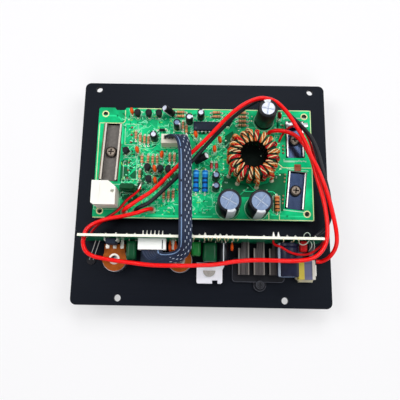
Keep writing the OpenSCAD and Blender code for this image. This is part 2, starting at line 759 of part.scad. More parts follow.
module pot_wafers() {
    neck = pot_d - 2.4;
    color("#9a5018") at_pots() translate([0, 0, pot_h]) linear_extrude(wafer_t) difference() {
        union() {
            circle(d = pot_d - 0.6);
            translate([-neck / 2, 0]) square([neck, pot_reach - 3]);
        }
        circle(d = 4.6);
    }
}

module pot_terminals() {
    pitch = 5;
    rivet_y = pot_reach - 4.6;
    top = pot_h + wafer_t;
    color("#cfd0cc") at_pots() {
        for (i = [-1, 0, 1]) translate([i * pitch * 0.94, 0, top]) {
            translate([-1, rivet_y - 1.2, 0]) cube([2, pot_reach - rivet_y + 1.2, 0.5]);
            translate([0, rivet_y, 0.5 - eps]) cylinder(d = 2.4, h = 0.5);
        }
        translate([0, 0, top]) difference() {
            cylinder(d = 7, h = 0.5);
            translate([0, 0, -1]) cylinder(d = 4.6, h = 3);
        }
    }
}

module pot_nuts() {
    across_corners = bushing_d + 4.2;
    color("#c3c6c9") at_pots() translate([0, 0, panel_front - nut_h]) difference() {
        cylinder(d = across_corners, h = nut_h, $fn = 6);
        translate([0, 0, -1]) cylinder(d = bushing_d + 2 * fit, h = nut_h + 2);
    }
}

module shaft_at(at) {
    rotor_z = 2.4;
    end_z = knob_top - shaft_in_knob;
    translate([at[0], at[1], 0]) {
        translate([0, 0, end_z]) cylinder(d = shaft_d, h = rotor_z - end_z + eps);
        translate([0, 0, rotor_z]) cylinder(d = rotor_d, h = rotor_t);
    }
}

module knob_at(at) {
    skirt_h = 2.4;
    ribs = 18;
    translate([at[0], at[1], knob_top]) mirror([0, 0, 1]) difference() {
        union() {
            cylinder(d = knob_d, h = skirt_h);
            cylinder(d = knob_d - 1.6, h = knob_h - 0.8);
            translate([0, 0, knob_h - 0.8 - eps]) cylinder(d1 = knob_d - 1.6, d2 = knob_d - 3, h = 0.8);
            for (i = [0 : ribs - 1]) rotate(i * 360 / ribs)
                translate([knob_d / 2 - 0.8, 0, 0]) cylinder(d = 1, h = knob_h - 1.4);
        }
        translate([0, 0, -1]) cylinder(d = shaft_d + 2 * eps, h = shaft_in_knob + 1 + eps);
        translate([-0.5, 2, knob_h - 0.5]) cube([1, knob_d, 1]);
    }
}

module level_shaft() {
    color("#d0d2d4") shaft_at(level_at);
}

module level_knob() {
    color("#141518") knob_at(level_at);
}

module frequency_shaft() {
    color("#d0d2d4") shaft_at(frequency_at);
}

module frequency_knob() {
    color("#141518") knob_at(frequency_at);
}

// Slide switch behind the panel's slot
module switch_body() {
    room = [
        slider_size[0] + 2 * switch_travel + 2 * slide_clear,
        slider_size[1] + 2 * slide_clear,
        slider_size[2] + 2 * slide_clear
    ];
    color("#3b4657") translate([switch_at[0], switch_at[1], 0]) difference() {
        block(switch_size);
        translate([0, 0, -eps]) block(room);
    }
}

module switch_slider() {
    color("#101114") translate([switch_at[0], switch_at[1], 0]) {
        translate([0, 0, fit]) block(slider_size);
        translate([0, 0, panel_front - slider_out])
            block([slider_nub, slider_nub, panel_t + slider_out + 2 * fit]);
    }
}

// Parts that reach out of the control board's front face
module out_of_board(x, z) {
    translate([x, control_face, z]) children();
}

module board_leads(offsets) {
    for (x = offsets) translate([x, 0, 0]) rotate([90, 0, 0]) cylinder(d = lead_d, h = part_lead + eps);
}

module control_film_capacitors() {
    color("#0f5a33") for (p = control_film_parts) out_of_board(p[0], p[1]) {
        translate([0, -part_lead, 0]) rotate([90, 0, 0]) linear_extrude(p[3] - part_lead)
            rounded_rect(p[2], p[4], 1.4);
        board_leads([1 - p[2] / 2, p[2] / 2 - 1]);
    }
}

module control_capacitor() {
    color("#17191d") out_of_board(control_cap[0], control_cap[1]) {
        translate([0, -part_lead, 0]) rotate([90, 0, 0]) can(control_cap[2], control_cap[3]);
        board_leads([-1.2, 1.2]);
    }
}

module input_capacitor() {
    color("#1b2140") out_of_board(input_cap[0], input_cap[1]) {
        translate([0, -part_lead, 0]) rotate([90, 0, 0]) can(input_cap[2], input_cap[3]);
        board_leads([-2.5, 2.5]);
    }
}

module control_discs() {
    color("#e0451c") for (p = control_disc_spots) out_of_board(p[0], p[1]) {
        translate([-1, -part_lead - p[2] / 2, 0]) rotate([0, 90, 0]) cylinder(d = p[2], h = 2);
        for (z = [-1.3, 1.3]) translate([0, 0, z]) rotate([90, 0, 0])
            cylinder(d = lead_d, h = part_lead + 0.5);
    }
}

module op_amp_chip() {
    color("#272c33") out_of_board(op_amp_at[0], op_amp_at[1]) rotate([90, 90, 0])
        dual_in_line([op_amp_size[1], op_amp_size[0], op_amp_size[2]], 4);
}

// Input jack through the panel
module jack_body() {
    color("#f2f3f8") translate([jack_at[0], jack_at[1], 0]) difference() {
        union() {
            linear_extrude(jack_body_h) polygon([
                [jack_chamfer - jack_left, -jack_foot], [jack_slot[0], -jack_foot],
                [jack_slot[0], jack_slot[2] - jack_foot], [jack_slot[1], jack_slot[2] - jack_foot],
                [jack_slot[1], -jack_foot], [jack_right - jack_chamfer, -jack_foot],
                [jack_right, jack_chamfer - jack_foot], [jack_right, jack_head - jack_wing[1]],
                [jack_right + jack_wing[0], jack_head - jack_wing[1] / 2],
                [jack_right + jack_wing[0], jack_head], [-jack_left, jack_head],
                [-jack_left, jack_chamfer - jack_foot]
            ]);
            translate([0, 0, panel_front - jack_l + 0.6])
                cylinder(d = jack_d - 1.8, h = panel_t + jack_l - 0.6 + eps);
        }
        translate([0, 0, panel_front - jack_l - 1]) cylinder(d = jack_bore_d, h = panel_t + jack_l + 3);
    }
}

module jack_shell() {
    color("#c8ccd2") translate([jack_at[0], jack_at[1], 0]) {
        difference() {
            union() {
                translate([0, 0, panel_front - jack_l]) cylinder(d = jack_d, h = jack_l + panel_t);
                translate([0, 0, panel_front - 1.2]) cylinder(d = jack_d + 3.4, h = 1.2);
            }
            translate([0, 0, panel_front - jack_l - 1])
                cylinder(d = jack_d - 1.8 + 2 * fit, h = jack_l + panel_t + 2);
        }
        translate([jack_plate_at[0], jack_plate_at[1], jack_body_h]) linear_extrude(jack_plate_t)
            intersection() {
                circle(d = jack_plate_d);
                translate([0, -jack_plate_d / 2]) square([2 * jack_plate_d, jack_plate_d], center = true);
            }
    }
}

// Terminal block with three lugs that reach the control board
module terminal_block() {
    color("#141518") difference() {
        union() {
            linear_extrude(block_flange_t) difference() {
                union() {
                    translate(block_at) rounded_rect(block_w, block_h, 2.4);
                    translate(ear_at) circle(r = ear_r);
                    translate([ear_at[0] - ear_r, ear_at[1]]) square([2 * ear_r, block_at[1] - ear_at[1]]);
                }
                translate(ear_at) circle(d = ear_screw_d + 2 * fit);
            }
            translate([block_at[0], block_at[1], panel_front - block_out])
                block([3 * terminal_pitch, block_h - 5, block_out + panel_t + eps]);
        }
        for (i = [-1, 0, 1])
            translate([block_at[0] + i * terminal_pitch, block_at[1], panel_front - block_out - 1])
                block([terminal_pitch - 2, block_h - 4, 3]);
    }
}

module terminal_lugs() {
    lip = 1;
    lug_l = control_face - lug_foot;
    plate_z = lug_z - block_flange_t - lug_t;
    color("#8f8d88") for (i = [-1, 0, 1])
        translate([block_at[0] + i * terminal_pitch - lug_w / 2, lug_foot, block_flange_t]) difference() {
            union() {
                cube([lug_w, lug_t, plate_z + lug_t]);
                translate([0, 0, plate_z]) cube([lug_w, lug_l, lug_t]);
                for (x = [0, lug_w - lug_t]) translate([x, 0, plate_z]) cube([lug_t, lug_l, lug_t + lip]);
            }
            translate([-1, lug_l - lug_notch[1], plate_z - 1]) cube([lug_notch[0] + 1, lug_notch[1] + 1, 5]);
        }
}

module terminal_screws() {
    seat = panel_front - block_out + 2;
    color("#bfc2c4") {
        for (i = [-1, 0, 1])
            translate([block_at[0] + i * terminal_pitch, block_at[1], seat]) mirror([0, 0, 1]) difference() {
                cylinder(d = 6, h = 1.8);
                translate([0, 0, 1]) block([7, 1, 2]);
            }
        translate([ear_at[0], ear_at[1], 0]) difference() {
            union() {
                translate([0, 0, panel_front]) cylinder(d = ear_screw_d, h = panel_t + block_flange_t + eps);
                translate([0, 0, block_flange_t]) cylinder(d = 5.4, h = 1.8);
            }
            for (a = [0, 90]) rotate(a) translate([0, 0, block_flange_t + 0.8]) block([3, 0.8, 2]);
        }
    }
}

// Blade fuse in its holder
module fuse_holder() {
    wall = 1;
    w = fuse_holder_size[0];
    l = fuse_holder_size[1];
    color("#ded3b4") translate([fuse_at[0] - w / 2, fuse_at[1] - l, 0]) difference() {
        union() {
            cube([w, l, fuse_holder_size[2]]);
            for (x = [0, w - wall]) translate([x, 4, 0]) cube([wall, l - 8, fuse_holder_size[2] + 3]);
        }
        for (x = [0, w]) translate([x, 0, -1]) cylinder(d = 4, h = 10);
    }
}

module blade_fuse() {
    y = fuse_at[1] - fuse_holder_size[1] + fuse_set_back;
    z = fuse_holder_size[2];
    blade_l = fuse_holder_size[1] - fuse_set_back - fuse_size[1];
    color("#e2c63f") translate([fuse_at[0], y, z]) {
        difference() {
            translate([0, fuse_size[1] / 2, 0]) block(fuse_size);
            translate([1, fuse_size[1] / 2, fuse_size[2] - 1]) block([5, fuse_size[1] - 4, 2]);
        }
        for (s = [-1, 1])
            translate([s * fuse_size[0] / 3, fuse_size[1] + blade_l / 2, fuse_size[2] / 2 - 0.4])
                block([2.8, blade_l, 0.8]);
    }
}

// Indicator lamp in the panel, on two slanting leads
module indicator_lamp() {
    lamp_out = 2;
    color("#c23a3a") translate([lamp_at[0], lamp_at[1], 0]) {
        cylinder(d = lamp_d + 0.9, h = 1);
        translate([0, 0, panel_front - lamp_out]) cylinder(d = lamp_d, h = panel_t + lamp_out + eps);
        translate([0, 0, panel_front - lamp_out]) intersection() {
            sphere(d = lamp_d);
            translate([0, 0, -lamp_d]) block([2 * lamp_d, 2 * lamp_d, lamp_d + eps]);
        }
        for (s = [-1, 1])
            rod([s * 1.27, 0, 0.6], [s * 1.27 + 5.4, control_face - lamp_at[1] - 0.4, 8], lead_d);
    }
}

// Wires: a smooth curve through the route's points, with a ring of corners at each step
function unit(v) = v / norm(v);
function place(p) = [p[0], p[1], p[2]];
function blend(a, b, c, d, t) =
    (2 * b + (c - a) * t + (2 * a - 5 * b + 4 * c - d) * t * t + (3 * b - a - 3 * c + d) * t * t * t) / 2;
function spline(p, steps) = concat(
    [for (i = [0 : len(p) - 2], s = [0 : steps - 1])
        blend(p[max(i - 1, 0)], p[i], p[i + 1], p[min(i + 2, len(p) - 1)], s / steps)],
    [p[len(p) - 1]]
);
function headings(p, route) = [for (i = [0 : len(p) - 1])
    i == 0 ? unit(place(route[1]) - place(route[0])) :
    i == len(p) - 1 ? unit(place(route[len(route) - 1]) - place(route[len(route) - 2])) :
    unit(place(p[i + 1]) - place(p[i - 1]))];
// Side directions carried along the curve without twist
function sides(head) = [
    for (i = 0, n = unit(cross(head[0], [0.3, 1, 0.1])); i < len(head);
        i = i + 1, n = i < len(head) ? unit(n - (n * head[i]) * head[i]) : n) n];

// A closed skin over rings of equally many corners
module skin(rings) {
    count = len(rings[0]);
    last = len(rings) - 1;
    polyhedron(
        points = [for (ring = rings) each ring],
        faces = concat(
            [[for (k = [0 : count - 1]) k]],
            [[for (k = [0 : count - 1]) last * count + count - 1 - k]],
            [for (i = [0 : last - 1], k = [0 : count - 1]) each [
                [i * count + k, (i + 1) * count + k, i * count + (k + 1) % count],
                [i * count + (k + 1) % count, (i + 1) * count + k, (i + 1) * count + (k + 1) % count]
            ]]
        )
    );
}

module wire(route, d) {
    p = spline(route, wire_steps);
    head = headings(p, route);
    side = sides(head);
    skin([for (i = [0 : len(p) - 1])
        [for (k = [0 : wire_sides - 1]) let (a = -360 * k / wire_sides)
            p[i] + d / 2 * (cos(a) * side[i] + sin(a) * cross(head[i], side[i]))]]);
}

module ribbon_cable() {
    p = spline(ribbon_route, wire_steps);
    head = headings(p, ribbon_route);
    color("#2f3a52") skin([for (i = [0 : len(p) - 1])
        let (
            across = [cos(p[i][3]), sin(p[i][3]), 0],
            up = unit(cross(across, head[i])),
            w = p[i][4] / 2,
            t = ribbon_t / 2,
            corners = [[w, t / 2], [w - t / 2, t], [t / 2 - w, t], [-w, t / 2],
                [-w, -t / 2], [t / 2 - w, -t], [w - t / 2, -t], [w, -t / 2]]
        )
        [for (c = corners) place(p[i]) + c[0] * across + c[1] * up]]);
}

module long_red_wire() {
    color("#e0171b") wire(long_red_route, thick_wire_d);
}

module loop_red_wire() {
    color("#e0171b") wire(loop_red_route, thick_wire_d);
}

module black_wire() {
    color("#17181c") wire(black_route, thick_wire_d);
}

module thin_red_wire() {
    color("#b81218") wire(thin_red_route, thin_wire_d);
}

module pair_red_wire() {
    color("#b81218") wire(pair_red_route, thin_wire_d);
}

module pair_black_wire() {
    color("#17181c") wire(pair_black_route, thin_wire_d);
}

panel();
main_board();
control_board();
board_spacers();
left_clamp_bar();
right_clamp_bars();
clamp_screws();
output_transistors();
switching_transistors();
rectifiers();
insulating_pads();
toroid_core();
copper_winding();
red_winding();
winding_leads();
left_filter_capacitor();
right_filter_capacitor();
supply_capacitor();
small_capacitors();
ceramic_capacitors();
signal_transistors();
small_resistors();
power_resistors();
diodes();
controller_chip();
film_capacitor();
speaker_socket();
ribbon_plug();
control_plug();
pot_cans();
pot_wafers();
pot_terminals();
pot_nuts();
level_shaft();
level_knob();
frequency_shaft();
frequency_knob();
switch_body();
switch_slider();
control_film_capacitors();
control_capacitor();
input_capacitor();
control_discs();
op_amp_chip();
jack_body();
jack_shell();
terminal_block();
terminal_lugs();
terminal_screws();
fuse_holder();
blade_fuse();
indicator_lamp();
ribbon_cable();
long_red_wire();
loop_red_wire();
black_wire();
thin_red_wire();
pair_red_wire();
pair_black_wire();
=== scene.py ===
import math
import random
import bmesh
import bpy
from mathutils import Matrix, Vector


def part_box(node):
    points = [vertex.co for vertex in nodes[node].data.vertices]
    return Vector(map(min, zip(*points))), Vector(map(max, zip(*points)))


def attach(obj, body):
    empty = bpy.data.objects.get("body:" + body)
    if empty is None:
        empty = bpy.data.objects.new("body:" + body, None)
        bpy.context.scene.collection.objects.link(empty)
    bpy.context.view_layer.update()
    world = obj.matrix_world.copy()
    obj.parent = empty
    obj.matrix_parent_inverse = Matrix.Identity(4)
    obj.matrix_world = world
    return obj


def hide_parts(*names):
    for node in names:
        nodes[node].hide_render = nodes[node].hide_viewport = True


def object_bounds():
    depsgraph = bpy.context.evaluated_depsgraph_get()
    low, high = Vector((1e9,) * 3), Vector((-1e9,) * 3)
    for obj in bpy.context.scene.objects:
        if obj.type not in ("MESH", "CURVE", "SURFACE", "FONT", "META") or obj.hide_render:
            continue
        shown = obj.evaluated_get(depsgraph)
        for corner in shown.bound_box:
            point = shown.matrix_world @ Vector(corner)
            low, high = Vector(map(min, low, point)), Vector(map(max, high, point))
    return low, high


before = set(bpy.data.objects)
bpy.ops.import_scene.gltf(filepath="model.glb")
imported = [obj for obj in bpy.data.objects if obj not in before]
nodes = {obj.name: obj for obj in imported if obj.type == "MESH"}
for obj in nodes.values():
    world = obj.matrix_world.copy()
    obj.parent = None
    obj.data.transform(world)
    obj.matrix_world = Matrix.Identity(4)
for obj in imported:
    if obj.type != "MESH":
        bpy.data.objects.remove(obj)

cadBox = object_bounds()  # the solids' box, before anything is added
mm = 0.001
random.seed(11)
print("frame loaded:", len(nodes), "nodes")


def addObject(name, data):
    item = bpy.data.objects.new(name, data)
    bpy.context.scene.collection.objects.link(item)
    return item


# camera

cameraLook = {
    "place": (0.4, -73.0, 306.5),  # mm from the middle of the panel's inner face
    "right": (0.99984, 0.01771, -0.00335),
    "down": (0.01661, -0.97746, -0.21048),
    "lens": 41.13,
    "sensor": 36,
}


def makeCamera(look):
    data = bpy.data.cameras.new("photoCamera")
    data.lens = look["lens"]
    data.sensor_width = look["sensor"]
    data.clip_start = 0.01
    cam = addObject("photoCamera", data)
    right = Vector(look["right"]).normalized()
    up = -Vector(look["down"]).normalized()
    turn = Matrix((right, up, right.cross(up))).transposed()
    cam.matrix_world = Matrix.Translation(Vector(look["place"]) * mm) @ turn.to_4x4()
    bpy.context.scene.camera = cam


makeCamera(cameraLook)
print("camera placed")

# shared mesh helpers: a pile gathers corners, faces and material numbers, all in mm


def newPile():
    return {"verts": [], "faces": [], "mats": []}


def addFaces(pile, verts, faces, mats, place=None):
    first = len(pile["verts"])
    for v in verts:
        pile["verts"].append(tuple(place @ Vector(v)) if place else tuple(v))
    for face in faces:
        pile["faces"].append([first + i for i in face])
    pile["mats"].extend([mats] * len(faces) if isinstance(mats, int) else mats)


def spot(x, y, z, turn=0, tiltX=0, tiltY=0):
    tilt = Matrix.Rotation(math.radians(tiltY), 4, "Y") @ Matrix.Rotation(math.radians(tiltX), 4, "X")
    return Matrix.Translation((x, y, z)) @ Matrix.Rotation(math.radians(turn), 4, "Z") @ tilt


def addLathe(pile, profile, place, mats=0, segs=24, faceMat=None, lift=None):
    # profile holds (radius, height) from foot to top; a radius of 0 closes to a point
    verts, faces, faceMats, rows = [], [], [], []
    for step, (r, z) in enumerate(profile):
        if step == len(profile) - 1 and r and (r, z) == profile[0]:
            rows.append(rows[0])
            continue
        if r == 0:
            rows.append([len(verts)])
            verts.append((0, 0, z))
            continue
        rows.append(list(range(len(verts), len(verts) + segs)))
        for k in range(segs):
            a = 2 * math.pi * k / segs
            dz = lift(r, a, z) if lift else 0
            verts.append((r * math.cos(a), r * math.sin(a), z + dz))
    for i in range(len(rows) - 1):
        low, high = rows[i], rows[i + 1]
        mat = mats if isinstance(mats, int) else mats[i]
        for k in range(segs):
            n = (k + 1) % segs
            if len(low) == 1 and len(high) == 1:
                continue
            if len(low) == 1:
                face = [low[0], high[n], high[k]]
            elif len(high) == 1:
                face = [low[k], low[n], high[0]]
            else:
                face = [low[k], low[n], high[n], high[k]]
            faces.append(face)
            angle = 360 * (k + 0.5) / segs
            faceMats.append(faceMat(i, angle, mat) if faceMat else mat)
    addFaces(pile, verts, faces, faceMats, place)


def softenEdges(bm, edges, width):
    bmesh.ops.bevel(bm, geom=edges, offset=width, segments=2, profile=0.5, affect="EDGES")


def addBox(pile, centre, size, mat=0, place=None, bevel=0):
    bm = bmesh.new()
    bmesh.ops.create_cube(bm, size=1, matrix=Matrix.Translation(centre) @ Matrix.Diagonal((*size, 1)))
    if bevel:
        softenEdges(bm, bm.edges[:], bevel)
    addMesh(pile, bm, mat, place)


def addMesh(pile, bm, mat=0, place=None):
    bm.verts.index_update()
    addFaces(pile, [v.co[:] for v in bm.verts], [[v.index for v in f.verts] for f in bm.faces], mat, place)
    bm.free()


def addPrism(pile, outline, low, high, mat=0, place=None, bevel=0):
    bm = bmesh.new()
    foot = [bm.verts.new((x, y, low)) for x, y in outline]
    tops = [bm.verts.new((x, y, high)) for x, y in outline]
    bm.faces.new(foot)
    bm.faces.new(tops)
    for k in range(len(foot)):
        bm.faces.new((foot[k - 1], foot[k], tops[k], tops[k - 1]))
    bmesh.ops.recalc_face_normals(bm, faces=bm.faces[:])
    if bevel:
        softenEdges(bm, [e for e in bm.edges if any(v in tops for v in e.verts)], bevel)  # not the foot's
    addMesh(pile, bm, mat, place)


def addTube(pile, points, radius, mat=0, sides=8, closed=False, taper=None):
    pts = [Vector(p) for p in points]
    count = len(pts)
    side = None
    verts, faces = [], []
    for i, p in enumerate(pts):
        before = pts[i - 1] if i or closed else pts[0]
        after = pts[(i + 1) % count] if i < count - 1 or closed else pts[-1]
        head = (after - before).normalized()
        if side is None:
            side = head.orthogonal().normalized()
        side = (side - side.dot(head) * head).normalized()
        other = head.cross(side)
        r = radius * (taper[i] if taper else 1)
        for k in range(sides):
            a = 2 * math.pi * k / sides
            verts.append(p + r * (math.cos(a) * side + math.sin(a) * other))
    last = count if closed else count - 1
    for i in range(last):
        j = (i + 1) % count
        for k in range(sides):
            n = (k + 1) % sides
            faces.append([i * sides + k, i * sides + n, j * sides + n, j * sides + k])
    mats = mat if isinstance(mat, int) else [m for m in mat[:last] for _ in range(sides)]
    if not closed:
        faces.append(list(range(sides))[::-1])
        faces.append([(count - 1) * sides + k for k in range(sides)])
    addFaces(pile, verts, faces, mats)


def addStroke(pile, points, width, z, closed=False, height=0.06):
    # a printed or copper line lying on a board
    ends = list(points) + ([points[0]] if closed else [])
    for (x0, y0), (x1, y1) in zip(ends, ends[1:]):
        reach = math.hypot(x1 - x0, y1 - y0)
        turn = math.degrees(math.atan2(y1 - y0, x1 - x0))
        middle = spot((x0 + x1) / 2, (y0 + y1) / 2, z + height / 2, turn)
        addBox(pile, (0, 0, 0), (reach + width * 0.9, width, height), 0, middle)


def ringPoints(x, y, r, count=28, start=0, sweep=360):
    steps = count if sweep == 360 else count + 1
    angles = [math.radians(start + sweep * k / count) for k in range(steps)]
    return [(x + r * math.cos(a), y + r * math.sin(a)) for a in angles]


def boxPoints(x, y, w, h, turn=0):
    c, s = math.cos(math.radians(turn)), math.sin(math.radians(turn))
    half = [(-w / 2, -h / 2), (w / 2, -h / 2), (w / 2, h / 2), (-w / 2, h / 2)]
    return [(x + c * a - s * b, y + s * a + c * b) for a, b in half]


def curveThrough(points, steps):
    # a smooth curve through every point
    pts = [Vector(p) for p in points]
    last = len(pts) - 1
    out = []
    for i in range(last):
        a, b, c, d = pts[max(i - 1, 0)], pts[i], pts[i + 1], pts[min(i + 2, last)]
        for k in range(steps):
            t = k / steps
            out.append((2 * b + (c - a) * t + (2 * a - 5 * b + 4 * c - d) * t * t
                + (3 * b - a - 3 * c + d) * t ** 3) / 2)
    return out + [pts[-1]]


def smoothFaces(mesh, sharp):
    mesh.polygons.foreach_set("use_smooth", [True] * len(mesh.polygons))
    mesh.update()
    mesh.set_sharp_from_angle(angle=math.radians(sharp))


def makePiece(name, pile, materials, stands=(), body="chassis", sharp=35):
    mesh = bpy.data.meshes.new(name)
    mesh.from_pydata([Vector(v) * mm for v in pile["verts"]], [], pile["faces"])
    for material in materials:
        mesh.materials.append(material)
    mesh.polygons.foreach_set("material_index", pile["mats"])
    smoothFaces(mesh, sharp)
    piece = addObject(name, mesh)
    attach(piece, body)
    if stands:
        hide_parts(*stands)


# shared finishes


def paint(r, g, b):
    # a colour as seen on screen, 0 to 255, as the shader wants it
    def straight(c):
        c /= 255
        return c / 12.92 if c <= 0.04045 else ((c + 0.055) / 1.055) ** 2.4
    return (straight(r), straight(g), straight(b), 1)


def newGroup(name, inputs, outputs):
    group = bpy.data.node_groups.new(name, "ShaderNodeTree")
    for label, kind in inputs:
        group.interface.new_socket(name=label, in_out="INPUT", socket_type="NodeSocket" + kind)
    for label, kind in outputs:
        group.interface.new_socket(name=label, in_out="OUTPUT", socket_type="NodeSocket" + kind)
    return group, group.nodes.new("NodeGroupInput"), group.nodes.new("NodeGroupOutput")


def addNode(tree, kind, settings=None, **values):
    node = tree.nodes.new("ShaderNode" + kind)
    for key, value in (settings or {}).items():
        setattr(node, key, value)
    for key, value in values.items():
        node.inputs[key].default_value = value
    return node


def mixColor(tree, factor, first, second):
    # colours may be sockets or plain values
    mix = addNode(tree, "Mix", {"data_type": "RGBA"})
    for index, item in ((0, factor), (6, first), (7, second)):
        if isinstance(item, (float, int, tuple)):
            mix.inputs[index].default_value = item
        else:
            tree.links.new(item, mix.inputs[index])
    return mix.outputs[2]


def mathNode(tree, operation, first, second=0.5):
    node = addNode(tree, "Math", {"operation": operation})
    for index, item in enumerate((first, second)):
        if isinstance(item, (float, int)):
            node.inputs[index].default_value = item
        else:
            tree.links.new(item, node.inputs[index])
    return node.outputs[0]


def addUnevenGloss(group, start, end, noise):
    # the noise makes the gloss uneven, and goes out as the height for a bump
    uneven = mathNode(group, "SUBTRACT", noise, 0.5)
    shift = mathNode(group, "MULTIPLY", uneven, start.outputs["Roughness Spread"])
    group.links.new(mathNode(group, "ADD", start.outputs["Roughness"], shift), end.inputs["Roughness"])
    group.links.new(noise, end.inputs["Height"])


def makeGrainGroup():
    # colour patches, fine grain and uneven gloss for lacquer, plastic and rubber
    group, start, end = newGroup("surfaceGrain",
        [("Color", "Color"), ("Patch Color", "Color"), ("Patch Scale", "Float"), ("Patch Amount", "Float"),
            ("Grain Scale", "Float"), ("Roughness", "Float"), ("Roughness Spread", "Float")],
        [("Color", "Color"), ("Roughness", "Float"), ("Height", "Float")])
    at = addNode(group, "TexCoord")
    patch = addNode(group, "TexNoise", Detail=3.0, Roughness=0.6)
    grain = addNode(group, "TexNoise", Detail=4.0, Roughness=0.65)
    link = group.links.new
    link(at.outputs["Object"], patch.inputs["Vector"])
    link(at.outputs["Object"], grain.inputs["Vector"])
    link(start.outputs["Patch Scale"], patch.inputs["Scale"])
    link(start.outputs["Grain Scale"], grain.inputs["Scale"])
    spread = addNode(group, "MapRange", None, **{"From Min": 0.35, "From Max": 0.68})
    link(patch.outputs["Fac"], spread.inputs["Value"])
    amount = mathNode(group, "MULTIPLY", spread.outputs["Result"], start.outputs["Patch Amount"])
    link(mixColor(group, amount, start.outputs["Color"], start.outputs["Patch Color"]), end.inputs["Color"])
    addUnevenGloss(group, start, end, grain.outputs["Fac"])
    return group


def makeBrushGroup():
    # long streaks left by brushing or rolling metal
    group, start, end = newGroup("brushedLines",
        [("Color", "Color"), ("Streak Color", "Color"), ("Stretch", "Vector"), ("Roughness", "Float"),
            ("Roughness Spread", "Float")],
        [("Color", "Color"), ("Roughness", "Float"), ("Height", "Float")])
    at = addNode(group, "TexCoord")
    stretch = addNode(group, "VectorMath", {"operation": "MULTIPLY"})
    streak = addNode(group, "TexNoise", Scale=1.0, Detail=5.0, Roughness=0.7)
    link = group.links.new
    link(at.outputs["Object"], stretch.inputs[0])
    link(start.outputs["Stretch"], stretch.inputs[1])
    link(stretch.outputs[0], streak.inputs["Vector"])
    spread = addNode(group, "MapRange", None, **{"From Min": 0.3, "From Max": 0.7})
    link(streak.outputs["Fac"], spread.inputs["Value"])
    link(mixColor(group, spread.outputs["Result"], start.outputs["Color"], start.outputs["Streak Color"]),
        end.inputs["Color"])
    addUnevenGloss(group, start, end, streak.outputs["Fac"])
    return group


def makeSplitGroup():
    # 1 beyond a plane across the object, 0 before it
    group, start, end = newGroup("planeSplit", [("Direction", "Vector"), ("Limit", "Float")],
        [("Mask", "Float")])
    at = addNode(group, "TexCoord")
    along = addNode(group, "VectorMath", {"operation": "DOT_PRODUCT"})
    link = group.links.new
    link(at.outputs["Object"], along.inputs[0])
    link(start.outputs["Direction"], along.inputs[1])
    link(mathNode(group, "GREATER_THAN", along.outputs["Value"], start.outputs["Limit"]), end.inputs["Mask"])
    return group


grainGroup = makeGrainGroup()
brushGroup = makeBrushGroup()
splitGroup = makeSplitGroup()


def placeGroup(tree, group, values):
    node = tree.nodes.new("ShaderNodeGroup")
    node.node_tree = group
    for key, value in values.items():
        node.inputs[key].default_value = value
    return node


def placeGrain(tree, color, patch, scale, amount, grain, rough, spread):
    return placeGroup(tree, grainGroup, {"Color": paint(*color), "Patch Color": paint(*patch),
        "Patch Scale": scale, "Patch Amount": amount, "Grain Scale": grain, "Roughness": rough,
        "Roughness Spread": spread})


def planeMask(tree, direction, limit):
    return placeGroup(tree, splitGroup, {"Direction": direction, "Limit": limit * mm}).outputs["Mask"]


finishLook = {
    "shine": 0.09,  # specular level of lacquer, plastic and rubber
    "bumpDepth": 0.00006,  # m
    "darker": 0.72,  # a patch's colour, as a share of the main one, where none is given
    "tin": (212, 208, 198),
    "tinShade": (168, 164, 156),
    "lead": (196, 190, 180),
    "leadShade": (150, 140, 128),
}


def newMaterial(name, fixed):
    material = bpy.data.materials.new(name)
    material.use_nodes = True
    tree = material.node_tree
    tree.nodes.clear()
    out = tree.nodes.new("ShaderNodeOutputMaterial")
    shader = tree.nodes.new("ShaderNodeBsdfPrincipled")
    for key, value in fixed.items():
        shader.inputs[key].default_value = value
    tree.links.new(shader.outputs["BSDF"], out.inputs["Surface"])
    return material, tree, shader


def coverWith(tree, shader, group, bump, color=None):
    # a group's colour, gloss and height on the shader; another colour may stand in for its own
    tree.links.new(color or group.outputs["Color"], shader.inputs["Base Color"])
    tree.links.new(group.outputs["Roughness"], shader.inputs["Roughness"])
    node = addNode(tree, "Bump", None, Strength=bump, Distance=finishLook["bumpDepth"])
    tree.links.new(group.outputs["Height"], node.inputs["Height"])
    tree.links.new(node.outputs["Normal"], shader.inputs["Normal"])


def grainy(name, color, patch=None, rough=0.5, spread=0.2, scale=90, amount=0.6, grain=1800, bump=0.15,
        **fixed):
    material, tree, shader = newMaterial(name, {"Specular IOR Level": finishLook["shine"], **fixed})
    patch = patch or tuple(c * finishLook["darker"] for c in color)
    coverWith(tree, shader, placeGrain(tree, color, patch, scale, amount, grain, rough, spread), bump)
    return material


def glossy(name, color, patch=None, coat=0.2, coatRough=0.12, **look):
    # a grainy finish under a clear coat
    return grainy(name, color, patch, **look, **{"Coat Weight": coat, "Coat Roughness": coatRough})


def brushed(name, color, streak, stretch, rough=0.35, spread=0.3, bump=0.1, **fixed):
    material, tree, shader = newMaterial(name, fixed)
    group = placeGroup(tree, brushGroup, {"Color": paint(*color), "Streak Color": paint(*streak),
        "Stretch": stretch, "Roughness": rough, "Roughness Spread": spread})
    coverWith(tree, shader, group, bump)
    return material


